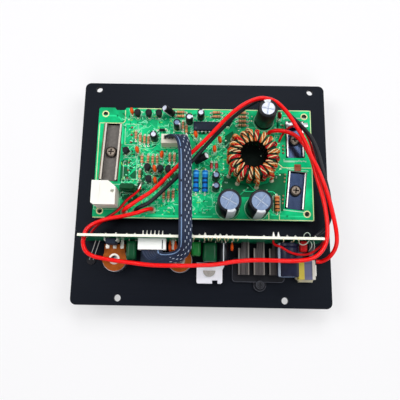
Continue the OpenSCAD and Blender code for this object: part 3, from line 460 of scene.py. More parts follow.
def metalPast(material, planes, color, rough):
    # bare metal beyond each plane of a moulded part: its pins, blades or leads
    tree = material.node_tree
    shader = tree.nodes["Principled BSDF"]
    mask = None
    for direction, limit in planes:
        split = planeMask(tree, direction, limit)
        mask = mathNode(tree, "MAXIMUM", mask, split) if mask else split
    plain = shader.inputs["Base Color"].links[0].from_socket
    gloss = shader.inputs["Roughness"].links[0].from_socket
    tree.links.new(mixColor(tree, mask, plain, paint(*color)), shader.inputs["Base Color"])
    if not shader.inputs["Metallic"].default_value:
        tree.links.new(mask, shader.inputs["Metallic"])
    drop = mathNode(tree, "MULTIPLY", mathNode(tree, "SUBTRACT", gloss, rough), mask)
    tree.links.new(mathNode(tree, "SUBTRACT", gloss, drop), shader.inputs["Roughness"])
    return material


def tintPast(material, tints):
    # another colour beyond each plane, in turn
    tree = material.node_tree
    shader = tree.nodes["Principled BSDF"]
    for direction, limit, color in tints:
        mask = planeMask(tree, direction, limit)
        plain = shader.inputs["Base Color"].links[0].from_socket
        tree.links.new(mixColor(tree, mask, plain, paint(*color)), shader.inputs["Base Color"])
    return material


def dress(node, material):
    slots = nodes[node].data.materials
    slots.clear()
    slots.append(material)


def plainPiece(name, pile, slot, color, patch=None, sharp=35, finish=None, **look):
    # a piece in one grainy finish, which takes the piece's name unless it has its own
    makePiece(name, pile, [grainy(finish or name, color, patch, **look)], sharp=sharp)


tinned = grainy("tinnedMetal", finishLook["tin"], finishLook["tinShade"], rough=0.3, grain=2600, Metallic=1.0)
leadWire = grainy("leadWire", finishLook["lead"], finishLook["leadShade"], rough=0.35, Metallic=1.0)
print("finishes ready")

# free wires

wireLook = {
    "steps": 5,
    "thick": 2.7,
    "thin": 1.5,
    "red": (252, 10, 12),
    "redShade": (232, 4, 8),
    "redCoat": 0.24,
    "dullRed": (206, 14, 22),
    "dullRedShade": (150, 8, 16),
    "black": (16, 17, 22),
    "blackShade": (40, 42, 50),
    "blackCoat": 0.18,
}
longRedRoute = [
    (-33.5, -16, 8.6), (-33.5, -16, 10.6), (-34.6, -16.5, 13.4), (-37.6, -17.7, 15.4), (-42, -19.5, 16),
    (-51.5, -22, 16), (-61, -24, 16.5), (-69, -27.5, 18), (-73.2, -31.5, 19.5), (-74.3, -35.7, 20),
    (-74.8, -40.5, 19.5), (-73, -45.2, 18.5), (-68.8, -48, 17.5), (-63, -49.3, 17), (-54, -50.7, 17),
    (-43.2, -52, 18), (-32.3, -53.2, 19.5), (-21, -53.5, 21), (-9.6, -53.4, 21.5), (-1, -53, 21.5),
    (8.8, -52.4, 21.5), (21.4, -50.2, 21.5), (34, -49.3, 22.5), (44, -49.5, 25), (54.2, -49.8, 26.4),
    (63, -49, 25), (69.4, -47, 23.5), (74, -43.5, 22.5), (77.1, -38.5, 22), (78.8, -32, 21), (79, -21.5, 20),
    (77.6, -8.7, 18.6), (73.5, 9, 17.6), (71.6, 17.5, 17.2), (68, 26, 17), (62.8, 33.5, 16.5),
    (57.5, 37, 15.5), (52, 38.6, 14.5), (47.5, 39, 12.8), (45, 38.8, 10.6), (45, 38.8, 8.6),
]
loopRedRoute = [
    (-52, -18, 8.6), (-52, -18, 10.6), (-51.2, -17.5, 13.2), (-48.8, -16, 15.4), (-42, -11.4, 16.8),
    (-33, -5.5, 18), (-23.5, 4, 18.8), (-16.4, 11.4, 19.4), (-7.4, 20.4, 20.4), (1, 28.5, 21.5),
    (7.5, 35.2, 23), (15.8, 43.8, 25), (23.6, 50.3, 26), (31.5, 55, 26), (39, 57, 25.5), (46.8, 54.8, 25.5),
    (53, 49.3, 25), (57.7, 43.2, 24), (61, 38.2, 23), (64.2, 33, 22.3), (67.6, 26, 21.9), (70.5, 18, 21.6),
    (75, 8.5, 21.4), (80, -6.5, 21), (83.7, -21.5, 19.5), (85.8, -33, 17), (85.6, -40, 13.5),
    (82.5, -45.6, 9), (78.4, -48, 4.6), (74.7, -48, 4.6),
]
blackRoute = [
    (-44, -17, 8.6), (-44, -17, 10.6), (-43.2, -16.6, 13), (-40.6, -15.4, 15), (-34.5, -12.5, 15.8),
    (-26.5, -5.5, 17.6), (-18.7, 2.3, 17.8), (-12, 9.6, 17.6), (-6, 16.8, 17.4), (3, 27.6, 17.8),
    (12.6, 38.4, 18.6), (20.1, 45.8, 20), (27.5, 52, 20.8), (35, 57, 20.5), (41.5, 58.6, 20.5),
    (49, 56, 20.3), (57.5, 47.5, 19.8), (66, 39, 19.3), (71.3, 32.3, 18.8), (75.5, 22.4, 18),
    (78.5, 10.3, 17),
    (82.4, -5.6, 15), (83.6, -18.4, 11.5), (82.2, -24, 10), (79.4, -28, 9.2), (76.4, -30.4, 9),
    (74.4, -32, 9), (73.8, -33.6, 9), (73.8, -34.9, 9),
]
thinRedRoute = [
    (51.8, 33.2, 8.6), (51.8, 33.2, 9.8), (52.3, 34.4, 11.4), (53.8, 37, 12.3), (57.5, 41, 13.4),
    (62, 42.2, 15), (66.5, 39.6, 15.4), (70, 34, 15), (73, 25, 14.4), (76, 12, 14), (79.6, -5, 13.4),
    (81, -19, 14), (81, -27.5, 15.5), (78.5, -35, 17.5), (73, -41, 18.4), (67.5, -44.5, 19.6),
    (61, -45.6, 23), (54.2, -44.4, 25.6), (48.8, -41, 24), (46.2, -39.6, 21.2), (45, -38, 20),
    (45, -36.5, 20),
]
pairRedRoute = [
    (-40.6, 2, 8.6), (-40.6, 2, 10.2), (-40.7, 1, 12.2), (-41.2, -1, 13.4), (-42.8, -5, 14), (-49.5, -11, 14),
    (-55.2, -18, 13.6), (-62.5, -23.2, 12.6), (-68, -27.5, 12), (-71.4, -31.4, 11.6), (-72, -33.4, 11.5),
    (-72, -34.9, 11.5),
]
pairBlackRoute = [
    (-42.4, 2.6, 8.6), (-42.4, 2.6, 9.4), (-42.4, 1.6, 11), (-42.3, -0.6, 12), (-43.6, -4.6, 12.4),
    (-50.2, -10.4, 12.4), (-55.8, -17.3, 12), (-63, -22, 11), (-68.5, -26.4, 10.3), (-72.4, -30.6, 9.7),
    (-73, -33.4, 9.5), (-73, -34.9, 9.5),
]

redSleeve = glossy("redWireSleeve", wireLook["red"], wireLook["redShade"], wireLook["redCoat"], rough=0.3,
    spread=0.15, scale=120, amount=0.5, bump=0.05)
dullRedSleeve = grainy("thinRedSleeve", wireLook["dullRed"], wireLook["dullRedShade"], rough=0.35,
    spread=0.15, bump=0.05)
blackSleeve = glossy("blackWireSleeve", wireLook["black"], wireLook["blackShade"], wireLook["blackCoat"], 0.2,
    rough=0.32, spread=0.15, bump=0.05)


def makeWire(name, route, thickness, material, node):
    points = [p * mm for p in curveThrough(route, wireLook["steps"])]
    data = bpy.data.curves.new(name, "CURVE")
    data.dimensions = "3D"
    data.bevel_depth = thickness / 2 * mm
    data.bevel_resolution = 4
    data.use_fill_caps = True
    line = data.splines.new("POLY")
    line.points.add(len(points) - 1)
    for point, p in zip(line.points, points):
        point.co = (*p, 1)
    line.use_smooth = True
    data.materials.append(material)
    wire = addObject(name, data)
    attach(wire, "chassis")
    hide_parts(node)


for wireName, wireRoute, wireSize, wireSleeve, wireNode, wireSlot, wireStiffness in (
        ("longRedWire", longRedRoute, "thick", redSleeve, "long_red_wire", "wire_red", "medium"),
        ("loopRedWire", loopRedRoute, "thick", redSleeve, "loop_red_wire", "wire_red", "medium"),
        ("blackWire", blackRoute, "thick", blackSleeve, "black_wire", "wire_black", "medium"),
        ("thinRedWire", thinRedRoute, "thin", dullRedSleeve, "thin_red_wire", "wire_red", "limp"),
        ("pairRedWire", pairRedRoute, "thin", dullRedSleeve, "pair_red_wire", "wire_red", "limp"),
        ("pairBlackWire", pairBlackRoute, "thin", blackSleeve, "pair_black_wire", "wire_black", "limp")):
    makeWire(wireName, wireRoute, wireLook[wireSize], wireSleeve, wireNode)
print("wires laid")

# ribbon cable: eight cores side by side, white tracer dashes and one pale blue tracer

ribbonLook = {
    "cores": 8,
    "width": 8.4,
    "thickness": 1.2,
    "steps": 5,
    "shine": 0.25,
    "navy": (28, 42, 68),
    "navyShade": (19, 26, 43),
    "dash": (192, 202, 216),
    "dashPeriod": 6.4,  # mm along the cable
    "dashShare": 0.22,
    "dashShift": 0.37,  # from one seam to the next, as a share of the period
    "dashEnd": 100,  # mm along the cable
    "dashFrom": 0.43,  # share of the width
    "seamEdge": 0.29,  # dashes lie further than this from a core's middle
    "tracer": (128, 158, 198),
    "tracerAt": 0.22,  # share of the width
    "tracerHalf": 0.035,
    "tracerPeriod": 22.0,
    "tracerShare": 0.93,
}
ribbonRoute = [  # x, y, z, turn in degrees and width
    (-19.4, 31.6, 17.6, 0, 13.7), (-19, 31.6, 20, 0, 13), (-17, 31, 24, 0, 10.5), (-14.4, 28, 28, 0, 8.6),
    (-12.4, 22.5, 30, 0, 8.4), (-11.5, 14, 31, 0, 8.4), (-11, -2, 31.5, 0, 8.4), (-10.5, -20, 31.5, 0, 8.4),
    (-10.2, -31, 31, 0, 8.4), (-10.2, -37, 30, 0, 8.4), (-10.3, -41, 27.5, -8, 8.4),
    (-11.8, -45, 23.5, -40, 8.2), (-16, -47.6, 19.5, -75, 7.6), (-21.5, -48.4, 17.8, -95, 7),
    (-26.5, -48.2, 17.2, -120, 7.6),
    (-29.8, -47, 17, -152, 10.8), (-31.4, -44.6, 17, -180, 13.4), (-31.4, -43.5, 17, -180, 13.7),
]


def ribbonMaterial(look):
    material, tree, shader = newMaterial("ribbonSleeve", {"Specular IOR Level": look["shine"]})
    group = placeGrain(tree, look["navy"], look["navyShade"], scale=260, amount=0.7, grain=2200, rough=0.42,
        spread=0.2)
    uv = addNode(tree, "UVMap", {"uv_map": "alongRibbon"})
    parts = addNode(tree, "SeparateXYZ")
    tree.links.new(uv.outputs["UV"], parts.inputs[0])
    across, along = parts.outputs["X"], parts.outputs["Y"]
    lane = mathNode(tree, "MULTIPLY", across, float(look["cores"]))
    edge = mathNode(tree, "ABSOLUTE", mathNode(tree, "SUBTRACT", mathNode(tree, "FRACT", lane), 0.5))
    nearSeam = mathNode(tree, "GREATER_THAN", edge, look["seamEdge"])
    number = mathNode(tree, "FLOOR", mathNode(tree, "ADD", lane, 0.5))
    shifted = mathNode(tree, "ADD", mathNode(tree, "DIVIDE", along, look["dashPeriod"]),
        mathNode(tree, "MULTIPLY", number, look["dashShift"]))
    dashOn = mathNode(tree, "LESS_THAN", mathNode(tree, "FRACT", shifted), look["dashShare"])
    inner = mathNode(tree, "GREATER_THAN", across, look["dashFrom"])
    straight = mathNode(tree, "LESS_THAN", along, look["dashEnd"])
    column = mathNode(tree, "MULTIPLY", inner, straight)
    dash = mathNode(tree, "MULTIPLY", mathNode(tree, "MULTIPLY", nearSeam, dashOn), column)
    fromTracer = mathNode(tree, "ABSOLUTE", mathNode(tree, "SUBTRACT", across, look["tracerAt"]))
    tracerLane = mathNode(tree, "LESS_THAN", fromTracer, look["tracerHalf"])
    tracerStep = mathNode(tree, "FRACT", mathNode(tree, "DIVIDE", along, look["tracerPeriod"]))
    tracerOn = mathNode(tree, "LESS_THAN", tracerStep, look["tracerShare"])
    tracer = mathNode(tree, "MULTIPLY", tracerLane, tracerOn)
    color = mixColor(tree, dash, group.outputs["Color"], paint(*look["dash"]))
    coverWith(tree, shader, group, 0.12, mixColor(tree, tracer, color, paint(*look["tracer"])))
    return material


def makeRibbon(look, route):
    rings = curveThrough([p[:3] for p in route], look["steps"])
    turns = curveThrough([(p[3], p[4], 0) for p in route], look["steps"])
    perCore = 4
    outline = []  # share of the width, share of the half thickness, place across for the print
    for k in range(look["cores"] * perCore + 1):
        s = k / (look["cores"] * perCore)
        outline.append((s - 0.5, 0.45 + 0.55 * math.sin(math.pi * ((k / perCore) % 1)), s))
    loop = outline + [(s, -h, u) for s, h, u in reversed(outline)]
    count = len(loop)
    verts, faces, uvs, along = [], [], [], 0
    for i, p in enumerate(rings):
        before, after = rings[max(i - 1, 0)], rings[min(i + 1, len(rings) - 1)]
        head = (after - before).normalized()
        if i:
            along += (p - rings[i - 1]).length
        a = math.radians(turns[i][0])
        across = Vector((math.cos(a), math.sin(a), 0))
        up = across.cross(head).normalized()
        for s, h, u in loop:
            verts.append((p + across * s * turns[i][1] + up * h * look["thickness"] / 2) * mm)
            uvs.append((u, along))
    for i in range(len(rings) - 1):
        for k in range(count):
            n = (k + 1) % count
            faces.append([i * count + k, (i + 1) * count + k, (i + 1) * count + n, i * count + n])
    faces.append(list(range(count)))
    faces.append([(len(rings) - 1) * count + count - 1 - k for k in range(count)])
    mesh = bpy.data.meshes.new("ribbonCable")
    mesh.from_pydata(verts, [], faces)
    layer = mesh.uv_layers.new(name="alongRibbon")
    for loopItem in mesh.loops:
        layer.data[loopItem.index].uv = uvs[loopItem.vertex_index]
    mesh.materials.append(ribbonMaterial(look))
    smoothFaces(mesh, 60)
    ribbon = addObject("ribbonCable", mesh)
    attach(ribbon, "chassis")
    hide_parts("ribbon_cable")


makeRibbon(ribbonLook, ribbonRoute)
print("ribbon laid")

# panel and boards

panelLook = {
    "black": (3, 4, 10),
    "streak": (8, 9, 17),
    "stretch": (14, 900, 900),
    "shine": 0.1,
    "sheen": (0.72, 0.84, 1, 1),
}
boardLook = {
    "green": (6, 218, 140),
    "greenShade": (0, 120, 72),
    "edge": (254, 254, 238),
    "shine": 0.08,
    "top": 8.6,
}
# painted shade: the control board's green is darker than the main board's, for the shade on its faces
controlBoardShadeLook = {
    **boardLook,
    "green": (10, 116, 78),
    "greenShade": (4, 72, 48),
}
spacerLook = {
    "nylon": (216, 216, 208),
    # painted shade: the spacers' dark tops, which the corner holes show
    "screw": (20, 20, 22),
    "holeShadeFrom": 6.6,
}
frontFace = -36.5  # y of the control board's faces, and of the foot of the parts on its front
backFace = -34.9
partFoot = -38


def boardMaterial(name, look, direction):
    # lacquer on the faces, bare laminate on the cut edges
    material, tree, shader = newMaterial(name, {"Specular IOR Level": look["shine"]})
    group = placeGrain(tree, look["green"], look["greenShade"], scale=64, amount=0.7, grain=1500, rough=0.34,
        spread=0.2)
    normal = addNode(tree, "NewGeometry")
    along = addNode(tree, "VectorMath", {"operation": "DOT_PRODUCT"})
    along.inputs[1].default_value = direction
    tree.links.new(normal.outputs["Normal"], along.inputs[0])
    face = mathNode(tree, "GREATER_THAN", mathNode(tree, "ABSOLUTE", along.outputs["Value"]), 0.5)
    coverWith(tree, shader, group, 0.1, mixColor(tree, face, paint(*look["edge"]), group.outputs["Color"]))
    return material


blackPanel = brushed("blackPanel", panelLook["black"], panelLook["streak"], panelLook["stretch"], rough=0.42,
    spread=0.25, bump=0.12, **{"Specular IOR Level": panelLook["shine"], "Specular Tint": panelLook["sheen"]})
dress("panel", blackPanel)
dress("main_board", boardMaterial("mainBoardLacquer", boardLook, (0, 0, 1)))
dress("control_board", boardMaterial("controlBoardShadeLacquer", controlBoardShadeLook, (0, 1, 0)))
# painted shade: the spacers turn dark at the top, so the board's corner holes look dark
dress("board_spacers", tintPast(grainy("spacerNylon", spacerLook["nylon"]),
    [((0, 0, 1), spacerLook["holeShadeFrom"], spacerLook["screw"])]))
print("panel and boards done")

# the print, copper runs and solder pads on the main board

printLook = {
    "white": (214, 244, 226),
    "line": 0.24,
    "mark": 0.26,
    "run": (40, 232, 156),
    "runShade": (24, 206, 130),
    "runWidths": (0.4, 0.5, 0.8),
    "wideRun": 1.1,
    "runHeight": 0.04,
    "paleRun": (148, 248, 202),
    "paleRunShade": (96, 226, 164),
    "paleRunCount": 130,
    "paleRunWidth": 0.3,
    "paleRunHeight": 0.05,
    "speckCount": 620,
    "leaf": (150, 232, 112),
    "cream": (244, 242, 190),
    "creamShade": (226, 220, 150),
    "creamWidth": 0.45,
    "pad": (212, 224, 196),
    "viaCount": 150,
    # the darker patches' green, partly painted shade
    "ground": (2, 100, 59),
    "groundShade": (2, 80, 48),
    "deepShade": (2, 70, 44),
    # the painted shade inside the corner holes
    "hole": (20, 20, 19),
}
barSpots = {"left": (-63.1, 24), "upper": (62.6, 34.7), "lower": (62.4, -1.2)}
bigCanSpots = {"left": (16.6, -13.9), "right": (36, -14), "supply": (41.3, 47.2)}
chipSpot = (2.6, 42.1)
filmSpot = (-49.6, -2.2)
capacitorSpots = [(-18.1, 42.2), (-9.9, 46.4), (-2.1, 49.6), (-33.6, 33.6), (8.6, 6.3), (8.7, -0.9)]
transistorSpots = [
    (-45.2, 50, 75), (-37.6, 50, 75), (-30.6, 50, 75), (-51.8, 22.9, 50), (-36.9, 11.6, 60),
    (-28.4, 10.8, 50), (-23, 10.6, 90), (-35.7, 3.7, 90), (-27.4, 2.2, 60), (17.1, 44.4, 60),
]
discSpots = [
    (-49.5, 51.8, 90), (-44.6, 24.2, 90), (-27.9, 21.1, 70), (-32.3, 11.2, 90), (-31.7, 3, 90),
    (-5.4, 35.6, 90), (7.5, 25.7, 80), (10.9, 32.2, 90), (51.6, 50.3, 90),
]
resistorSpots = [
    (-16.2, 53, 0), (-16.2, 50, 0), (-14.4, 43.2, 90), (-12, 40.4, 90), (8.6, 53, 0), (8.6, 50, 0),
    (26.4, 53, 0), (26.4, 50, 0), (26.4, 47, 0), (26.4, 44, 0), (-46.4, 35.5, 90), (-43.4, 33.4, 90),
    (-40.4, 32.4, 90), (-37.7, 32.2, 90), (-41.5, 18.4, 90), (-37.4, 18.4, 90), (-34.2, 18.4, 90),
    (-31.2, 18.4, 90), (-22.7, 19.6, 90), (-19.6, 19.6, 90), (-42.7, 8, 90), (-26, -6.3, 90),
    (-22.8, -6, 90), (-19.7, -5.7, 90),
]
powerResistorSpots = [(-4.6, 3.5, 15, 4), (1.4, 3.5, 15, 4), (49.3, -11, 10.5, 3.4)]
diodeSpots = [(5.6, 14.6, 90), (9, 14.6, 90), (-28.6, 39.7, 0)]
legGaps = {
    "resistor": (-3.8, 3.8),
    "diode": (-3.15, 3.15),
    "disc": (-1.3, 1.3),
    "transistor": (-1.27, 0, 1.27),
}
legReach = 1.2  # a lying part's legs bend down this far beyond its ends
copperRuns = [
    [(-70, 50), (-60, 50), (-56, 46), (-56, 30)], [(-54, 14), (-48, 14), (-45, 17), (-30, 15)],
    [(-60, -19), (-40, -20), (-10, -20), (6, -20)], [(-12, -16), (4, -16), (7, -13)],
    [(46, -18), (56, -19), (68, -19)], [(12, 54), (22, 54)], [(52, 52), (58, 52), (64, 49)],
]
creamRuns = [
    [(50, 18), (54, 14.4), (73.6, 14.4)], [(-72, 44.6), (-56, 44.6), (-54.6, 46), (-54.6, 54)],
    [(-72, 44.6), (-72, 4)], [(44, -16.5), (44, -21.6)], [(51, -18), (51, -21.6)],
    [(-46, 55.6), (73.6, 55.6), (73.6, -21.6), (-72.6, -21.6)],
]
# darker patches of board, partly painted shade between the parts; the first lies between the toroid, the
# right filter can and the lower bar
groundAndPaintedShade = [
    [(12, -5.8), (27, -6.4), (43, -6.2), (46, -15.5), (53.8, -15.5), (55.3, 0), (56.2, 10.4), (47.6, 10.4),
        (46.8, 6.4), (43, 3.4), (34, 1.4), (25, 3.2), (20, 8), (13.4, 9.6)],
    [(-56, 17.6), (-47, 18.4), (-45.6, 14), (-50.6, 7.4), (-47, 3.4), (-56, 3)],
    [(-56, -1), (-44, 1), (-38, -2.4), (-40, -9), (-50, -12), (-56, -8)],
    [(-50, 7), (-44, 13), (-30, 15), (-18, 14), (-17, 6), (-24, -1), (-34, 0), (-46, 4)],
    [(12, 28), (14, 36), (20, 40), (22, 34), (16, 26)], [(-14, 37), (12, 37.4), (13, 39), (-12, 38.8)],
]


def legSpots(x, y, turn, offsets):
    a = math.radians(turn)
    return [(x + o * math.cos(a), y + o * math.sin(a)) for o in offsets]


def partHoles():
    holes = []
    for spots, kind in ((resistorSpots, "resistor"), (diodeSpots, "diode"), (discSpots, "disc"),
            (transistorSpots, "transistor")):
        for x, y, turn in spots:
            holes += legSpots(x, y, turn, legGaps[kind])
    for x, y, long, _ in powerResistorSpots:
        holes += legSpots(x, y, 90, (-long / 2 - legReach, long / 2 + legReach))
    return holes


def onBoard(x, y):
    # clear of the clamp bars' cut-outs
    cuts = ((*barSpots["left"], 7.6, 22), (*barSpots["upper"], 7.2, 14), (*barSpots["lower"], 8.4, 14.4))
    return not any(abs(x - cx) < w and abs(y - cy) < h for cx, cy, w, h in cuts)


def drawRuns(look, top, piles, ends):
    # the darker patches, partly painted shade
    for outline in groundAndPaintedShade:
        addPrism(piles["ground"], outline, top, top + 0.02)
    for run in copperRuns:
        addStroke(piles["runs"], run, look["wideRun"], top, height=look["runHeight"])
    for x, y in ends:
        # from each hole to another one nearby, with one bend
        near = [e for e in ends if 3 < math.hypot(e[0] - x, e[1] - y) < 15]
        if near:
            u, v = random.choice(near)
            step = min(abs(u - x), abs(v - y))
            bend = (x + math.copysign(step, u - x), y + math.copysign(step, v - y))
            if onBoard(*bend) and onBoard(x, y) and onBoard(u, v):
                width = random.choice(look["runWidths"])
                addStroke(piles["runs"], [(x, y), bend, (u, v)], width, top, height=look["runHeight"])
    for _ in range(look["paleRunCount"]):
        # fine pale lines that step round the parts
        x, y = random.uniform(-55, 20), random.uniform(-20, 54)
        reach = random.uniform(3, 9) * random.choice((-1, 1))
        step = random.uniform(1, 3) * random.choice((-1, 1))
        bends = [(x, y), (x + reach, y), (x + reach + step, y + step)]
        if random.random() < 0.5:
            bends = [(x, y), (x, y + reach), (x + step, y + reach + step)]
        if all(onBoard(*p) and -56 < p[0] < 54 and -21 < p[1] < 55 for p in bends):
            addStroke(piles["pale"], bends, look["paleRunWidth"], top, height=look["paleRunHeight"])


def drawSpecks(look, top, piles):
    # short light and dark marks among the parts: the pale ones are painted glints, the others spots of
    # yellower and darker green
    kinds = ("pale", "pale", "pale", "leaf", "deep", "deep")
    for _ in range(look["speckCount"]):
        x, y = random.uniform(-55, 14), random.uniform(-19, 53)
        a, reach = random.uniform(0, math.pi), random.uniform(0.6, 2.2)
        kind, wide = random.randrange(len(kinds)), random.uniform(0.35, 0.8)
        if onBoard(x, y):
            speck = [(x, y), (x + reach * math.cos(a), y + reach * math.sin(a))]
            addStroke(piles[kinds[kind]], speck, wide, top, height=0.05 + 0.01 * kind)


def drawInk(look, top, ink):
    line = look["line"]
    heavy = line + 0.1
    addStroke(ink, [(54.8, 20.4), (54.8, 18.6), (62, 18.6)], heavy, top)
    addStroke(ink, [(63.4, 18.6), (65, 20.2), (66.6, 18.6), (68.2, 19.8), (69.6, 18.4)], line, top)
    outlines = [boxPoints(x, y, thick + 1.2, long + 1.2) for x, y, long, thick in powerResistorSpots]
    outlines += [boxPoints(x, y, 6, 2.9, turn) for x, y, turn in discSpots]
    outlines += [ringPoints(x, y, 2.9, 14, turn - 30, 240) for x, y, turn in transistorSpots]
    outlines += [ringPoints(x, y, 3.1, 20) for x, y in capacitorSpots]
    for outline in outlines:
        addStroke(ink, outline, line, top, closed=True)
    for name, r in (("left", 8.0), ("right", 8.0), ("supply", 6.9)):
        addStroke(ink, ringPoints(*bigCanSpots[name], r, 44), heavy, top, closed=True)
    for name, w, h, turn in (("upper", 14.4, 31, 0), ("lower", 14.4, 28.6, -6)):
        corners = boxPoints(*barSpots[name], w, h, turn)
        for ends in (corners[:2], corners[2:]):
            addStroke(ink, ends, line + 0.15, top)
    for x, y, w, h in ((*chipSpot, 21.6, 5.4), (*filmSpot, 11.4, 5.6), (-63.8, -7.6, 17, 17.2),
            (-19.4, 30.8, 19, 7.8), (-49.5, 36.5, 9, 15), (-49.5, 12.2, 9, 15), (50.5, 34.5, 3.4, 6)):
        addStroke(ink, boxPoints(x, y, w, h), line, top, closed=True)


def drawLegend(look, top, ink, vias):
    # short marks beside the parts, in the way of a printed legend
    spots = [p[:2] for p in resistorSpots + discSpots + transistorSpots + diodeSpots] + capacitorSpots
    for x, y in spots + vias[:70]:
        turned = random.random() < 0.4
        dx, dy = random.choice(((-2.6, 2.4), (2.6, 2.4), (2.8, -2.4), (-2.8, -2.2)))
        for k in range(random.choice((2, 3, 3))):
            sx, sy = (x + dx, y + dy + k * 0.75) if turned else (x + dx + k * 0.75, y + dy)
            reach = random.uniform(0.5, 0.9)
            stop = (sx + reach, sy) if turned else (sx, sy + reach)
            if onBoard(sx, sy) and sy + reach < 55:
                addStroke(ink, [(sx, sy), stop], look["mark"], top)


def addSolder(top, piles, holes, vias):
    pads = piles["pads"]
    joint = [(0.34, 0.0), (0.85, 0.0), (0.85, 0.05), (0.34, 0.22), (0.34, 0.0)]
    dot = [(0, 0.0), (0.5, 0.0), (0.42, 0.07), (0, 0.08)]
    cone = [(1.42, 0), (2.5, 0), (2.1, 0.4), (1.42, 0.9), (1.42, 0)]
    rim = [(1.62, 0.0), (2.4, 0.0), (2.4, 0.06), (1.62, 0.06), (1.62, 0.0)]
    shadeLining = [(1.4, -1.5), (1.58, -1.5), (1.58, 0), (1.4, 0), (1.4, -1.5)]
    for x, y in holes:
        addLathe(pads, joint, spot(x, y, top), segs=12)
    for x, y in vias:
        if onBoard(x, y):
            addLathe(pads, dot, spot(x, y, top), segs=8)
    for sx in (-1, 1):
        for sy in (-1, 1):
            # the fixing holes in the corners
            corner = spot(0.5 + sx * 68.8, 17 + sy * 34.3, top)
            addLathe(piles["cream"], rim, corner, segs=28)
            # painted shade: a dark wall inside each corner hole
            addLathe(piles["holeShades"], shadeLining, corner, segs=28)
    for route in (longRedRoute, loopRedRoute, blackRoute):
        addLathe(pads, cone, spot(*route[0][:2], top), segs=16)


def makePrint(look, top):
    names = ("ground", "holeShades", "ink", "runs", "pale", "leaf", "deep", "cream", "pads")
    piles = {name: newPile() for name in names}
    holes = partHoles()
    vias = [(random.uniform(-54, 54), random.uniform(-20, 54)) for _ in range(look["viaCount"])]
    drawRuns(look, top, piles, holes + vias)
    drawSpecks(look, top, piles)
    for run in creamRuns:
        addStroke(piles["cream"], run, look["creamWidth"], top, height=0.05)
    drawInk(look, top, piles["ink"])
    drawLegend(look, top, piles["ink"], vias)
    addSolder(top, piles, holes, vias)
    plainPiece("groundAndPaintedShade", piles["ground"], "green_board", look["ground"], look["groundShade"], rough=0.4,
        scale=160)
    plainPiece("holeShadeLinings", piles["holeShades"], "black_plastic", look["hole"], finish="holeShadeLining", rough=0.6)
    plainPiece("boardPrint", piles["ink"], "white_plastic", look["white"], finish="printInk",
        rough=0.6, amount=0.3)
    plainPiece("copperRuns", piles["runs"], "green_board", look["run"], look["runShade"],
        finish="coveredCopper", rough=0.3)
    plainPiece("paleRunsAndGlints", piles["pale"], "green_board", look["paleRun"], look["paleRunShade"], rough=0.35)
    plainPiece("leafSpecks", piles["leaf"], "green_board", look["leaf"], rough=0.4)
    plainPiece("darkSpecks", piles["deep"], "green_board", look["ground"], look["deepShade"], rough=0.4)
    plainPiece("creamRuns", piles["cream"], "white_plastic", look["cream"], look["creamShade"], rough=0.45)
    plainPiece("solderPads", piles["pads"], "tinned_metal", look["pad"], finish="solderPad", rough=0.3,
        Metallic=0.4)


makePrint(printLook, boardLook["top"])
print("board print done")

# clamp bars, power devices and screws

barLook = {
    "grey": (116, 111, 107),
    "greyShade": (86, 82, 79),
    "mirror": (60, 71, 96),
    "mirrorStreak": (38, 50, 74),
    "stretch": (300, 60, 300),
    # rim colours: painted highlights on the bars' upper edges
    "rim": (200, 195, 190),
    "greyRimHighlight": (156, 150, 142),
    "highlightFrom": 9.4,
}
screwLook = {
    "steel": (122, 112, 102),
    "shade": (62, 55, 49),
    "crossShade": (34, 29, 26),
    "crossShadeDepth": 0.7,
}
deviceLook = {
    "black": (30, 32, 36),
    "outputLead": (122, 74, 58),
    "lead": (104, 92, 66),
    "leadRough": 0.45,
    "insulator": (205, 200, 186),
}
# painted highlight: above this height the bars' upper edges take the lighter rim colours
barHighlightPlane = [((0, 0, 1), barLook["highlightFrom"])]
greyBar = grainy("greyBar", barLook["grey"], barLook["greyShade"], scale=500, grain=1500, bump=0.25)
dress("left_clamp_bar", metalPast(greyBar, barHighlightPlane, barLook["greyRimHighlight"], 0.5))
mirrorBar = brushed("mirrorBar", barLook["mirror"], barLook["mirrorStreak"], barLook["stretch"], rough=0.2,
    spread=0.1, bump=0.03, Metallic=1.0)
dress("right_clamp_bars", metalPast(mirrorBar, barHighlightPlane, barLook["rim"], 0.4))
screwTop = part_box("clamp_screws")[1][2] / mm
screwSteel = grainy("screwSteel", screwLook["steel"], screwLook["shade"], rough=0.34, scale=300, Metallic=0.8)
# painted shade: the screws darken below their heads' top, where the cross is sunk
dress("clamp_screws", tintPast(screwSteel,
    [((0, 0, -1), screwLook["crossShadeDepth"] - screwTop, screwLook["crossShade"])]))


def dressDevice(node, name, planes, lead):
    # a black moulding with bare leads beyond the planes
    moulding = grainy(name, deviceLook["black"], rough=0.6)
    dress(node, metalPast(moulding, planes, deviceLook[lead], deviceLook["leadRough"]))


def bothSides(x, reach):
    return [((1, 0, 0), x + reach), ((-1, 0, 0), -x + reach)]


barTurn = math.radians(-2.5)
barAxis = (math.cos(barTurn), math.sin(barTurn), 0)
barMiddle = barSpots["left"][0] * barAxis[0] + barSpots["left"][1] * barAxis[1]
dressDevice("output_transistors", "outputMoulding", [(barAxis, barMiddle + 9.5)], "outputLead")
dressDevice("switching_transistors", "switchingMoulding", bothSides(barSpots["upper"][0], 4.7), "lead")
dressDevice("rectifiers", "rectifierMoulding", bothSides(barSpots["lower"][0], 5.6), "lead")
dress("insulating_pads", grainy("insulatingPad", deviceLook["insulator"], rough=0.8))
print("power devices done")

# toroid: each bundle is a few enamelled strands, twisted a little, round the ring

